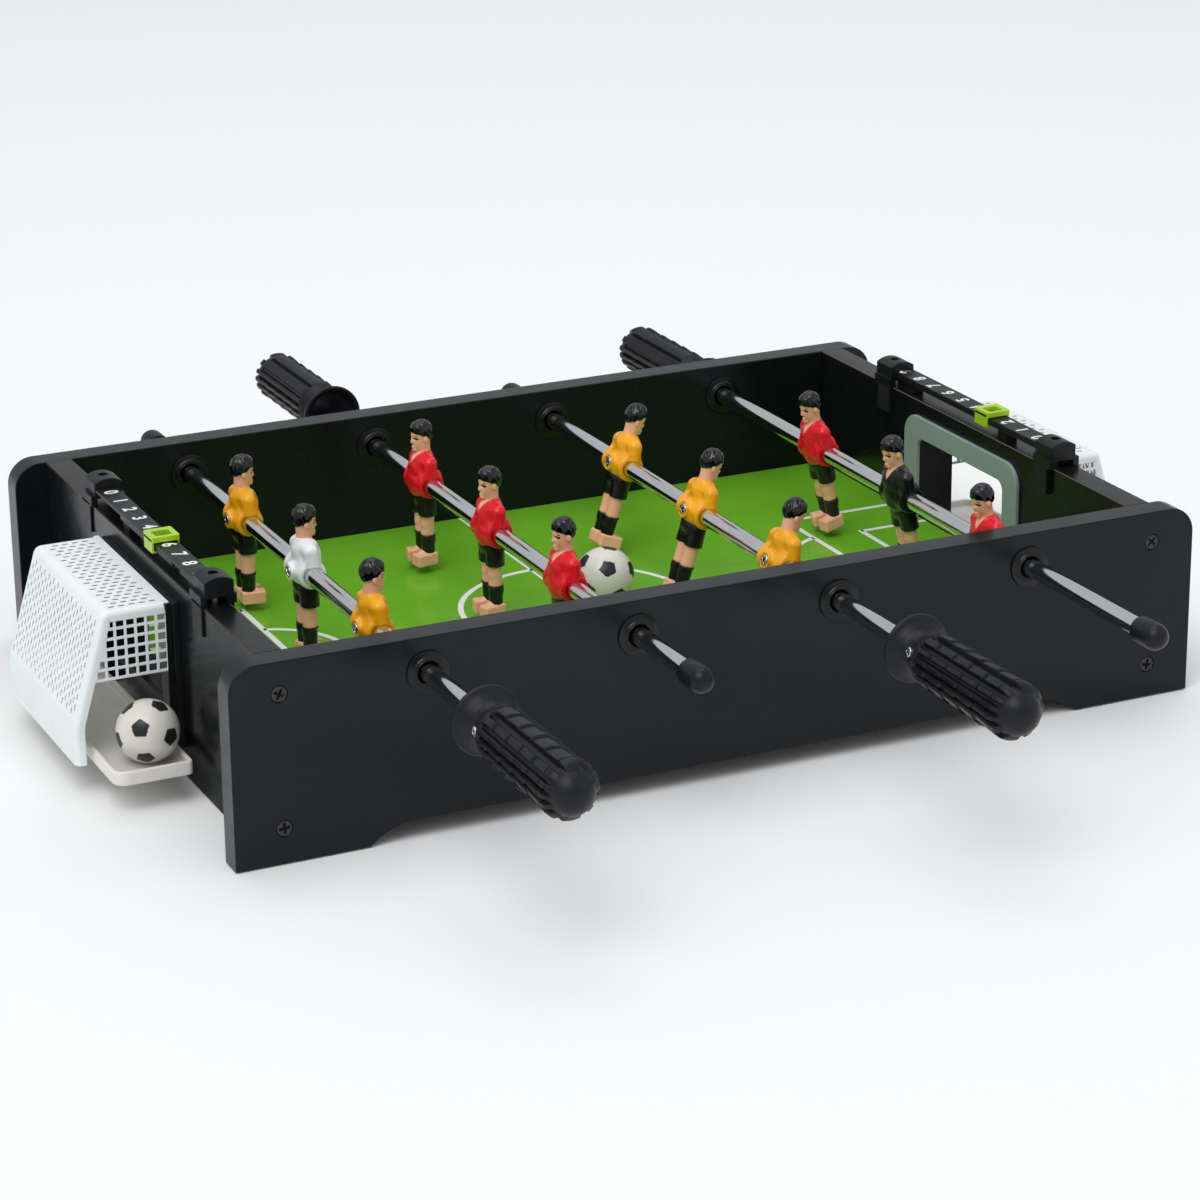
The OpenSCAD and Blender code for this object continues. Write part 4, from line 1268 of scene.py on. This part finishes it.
for i, (team, keeper) in enumerate(
    (("yellow", "shirt_white"), ("red", None), ("yellow", None), ("red", "shirt_black"))
):
    player(i, "front", -1, team)
    player(i, "keeper" if keeper else "middle", 0, keeper or team)
    player(i, "back", 1, team)

# ---------------- balls

BALL_R, PENTAGON = 13.3, 0.262
GROOVE_W, SEAM_W = 0.02, 0.012


def ball_piece(name, node, body, turn):
    """Small ball with the pattern of a football: sunk black pentagons, fine seams between the rest."""
    lo, hi = box_mm(node)
    middle = Vector((lo + hi) / 2)
    golden = (1 + 5**0.5) / 2
    corners = []
    for a in (-1, 1):
        for g in (-golden, golden):
            corners += [(0, a, g), (a, g, 0), (g, 0, a)]
    ico = np.array(corners, float) / math.hypot(1, golden)
    bm = bmesh.new()
    bmesh.ops.create_icosphere(bm, subdivisions=6, radius=1.0)
    local = np.array([v.co for v in bm.verts]) @ np.array(turn.to_3x3())
    # a pentagon lies round each icosahedron corner, bounded by planes towards its neighbours
    dots = local @ ico.T
    near = dots.argmax(1)
    edge = np.zeros(len(local))
    for k in range(12):
        here = local[near == k]
        reach = np.full(len(here), -1e9)
        for j in range(12):
            along = ico[j] @ ico[k]
            if j != k and along > 0.3:
                axis = ico[j] - ico[k] * along
                reach = np.maximum(reach, here @ axis / np.linalg.norm(axis) / (here @ ico[k]))
        edge[near == k] = reach - PENTAGON
    # seams lie halfway between the two nearest corners
    second, first = np.sort(dots, 1)[:, -2:].T
    seam = np.where(edge > 0, np.clip(1 - (first - second) / SEAM_W, 0, 1), 0)
    radius = 1 - 0.006 * np.clip(1 - np.abs(edge) / GROOVE_W, 0, 1) - 0.004 * seam
    radius = np.where(edge < -0.015, 0.995, radius)
    for v, q in zip(bm.verts, radius):
        v.co = (v.co * float(q) * BALL_R + middle) * MM
    me = bpy.data.meshes.new(name)
    bm.to_mesh(me)
    bm.free()
    me.materials.append(MAT["ball"])
    me.materials.append(MAT["ball_black"])
    for p in me.polygons:
        p.material_index = int(sum(edge[k] < 0 for k in p.vertices) >= 2)
    me.update()
    finish_piece(name, me, body, node, 60)


ball_piece("ball_on_field", "field_ball", "field_ball", Matrix.Rotation(2.711, 4, (-0.465, -0.828, 0.315)))
ball_piece("ball_in_tray", "tray_ball", "tray_ball", Matrix.Rotation(3.085, 4, (0.66, 0.394, 0.64)))

# ---------------- floor, light, camera

floor_mat, floor_bsdf = new_material("floor_white")
put(floor_bsdf, Roughness=0.9, Base_Color=(0.9, 0.9, 0.9, 1))
bm = bmesh.new()
bmesh.ops.create_grid(bm, x_segments=8, y_segments=8, size=6.0)
floor_mesh = bpy.data.meshes.new("floor")
bm.to_mesh(floor_mesh)
bm.free()
floor_mesh.materials.append(floor_mat)
floor = new_object("floor", floor_mesh)
floor.location = (0, 0, -0.0006)

world = bpy.data.worlds.new("studio")
bpy.context.scene.world = world
world.use_nodes = True
put(world.node_tree.nodes["Background"], Color=(0.94, 0.97, 1.0, 1), Strength=0.57)
bpy.context.scene.view_settings.view_transform = "Standard"


def add_light(name, kind, power, aim, loc=(0, 0, 0)):
    li = bpy.data.lights.new(name, kind)
    li.energy = power
    ob = new_object(name, li)
    ob.location = loc
    ob.rotation_euler = Vector(aim).to_track_quat("-Z", "Y").to_euler()
    return li


for name, loc, size, power in (
    ("key_light", (-1.0, -0.9, 1.9), (1.0, 1.0), 8.0),
    ("fill_light", (1.3, -1.4, 1.3), (1.2, 1.2), 2.0),
    ("top_light", (0.2, 0.5, 2.2), (1.6, 1.2), 9.0),
):
    area = add_light(name, "AREA", power, Vector((0, 0, 0.05)) - Vector(loc), loc)
    area.shape = "RECTANGLE"
    area.size, area.size_y = size
add_light("soft_sun", "SUN", 0.95, (0.5, 0.35, -1.0)).angle = 0.9

CAM_POS = (-633.0, -1371.1, 576.5)  # millimetres in the cabinet's own frame
CAM_DIR = (0.39773, 0.85831, -0.32420)
CAM_ROLL = -0.66  # degrees
cam_data = bpy.data.cameras.new("camera")
cam_data.sensor_width = 36.0
cam_data.lens = 106.9
cam_data.shift_x = 0.0080
cam_data.shift_y = -0.0520
cam_data.clip_end = 50.0
cam = new_object("camera", cam_data)
turn = Vector(CAM_DIR).to_track_quat("-Z", "Y").to_matrix().to_4x4() @ turn_z(CAM_ROLL)
cam.matrix_world = move(*(cabinet() @ Vector(CAM_POS) * MM)) @ turn
bpy.context.scene.camera = cam
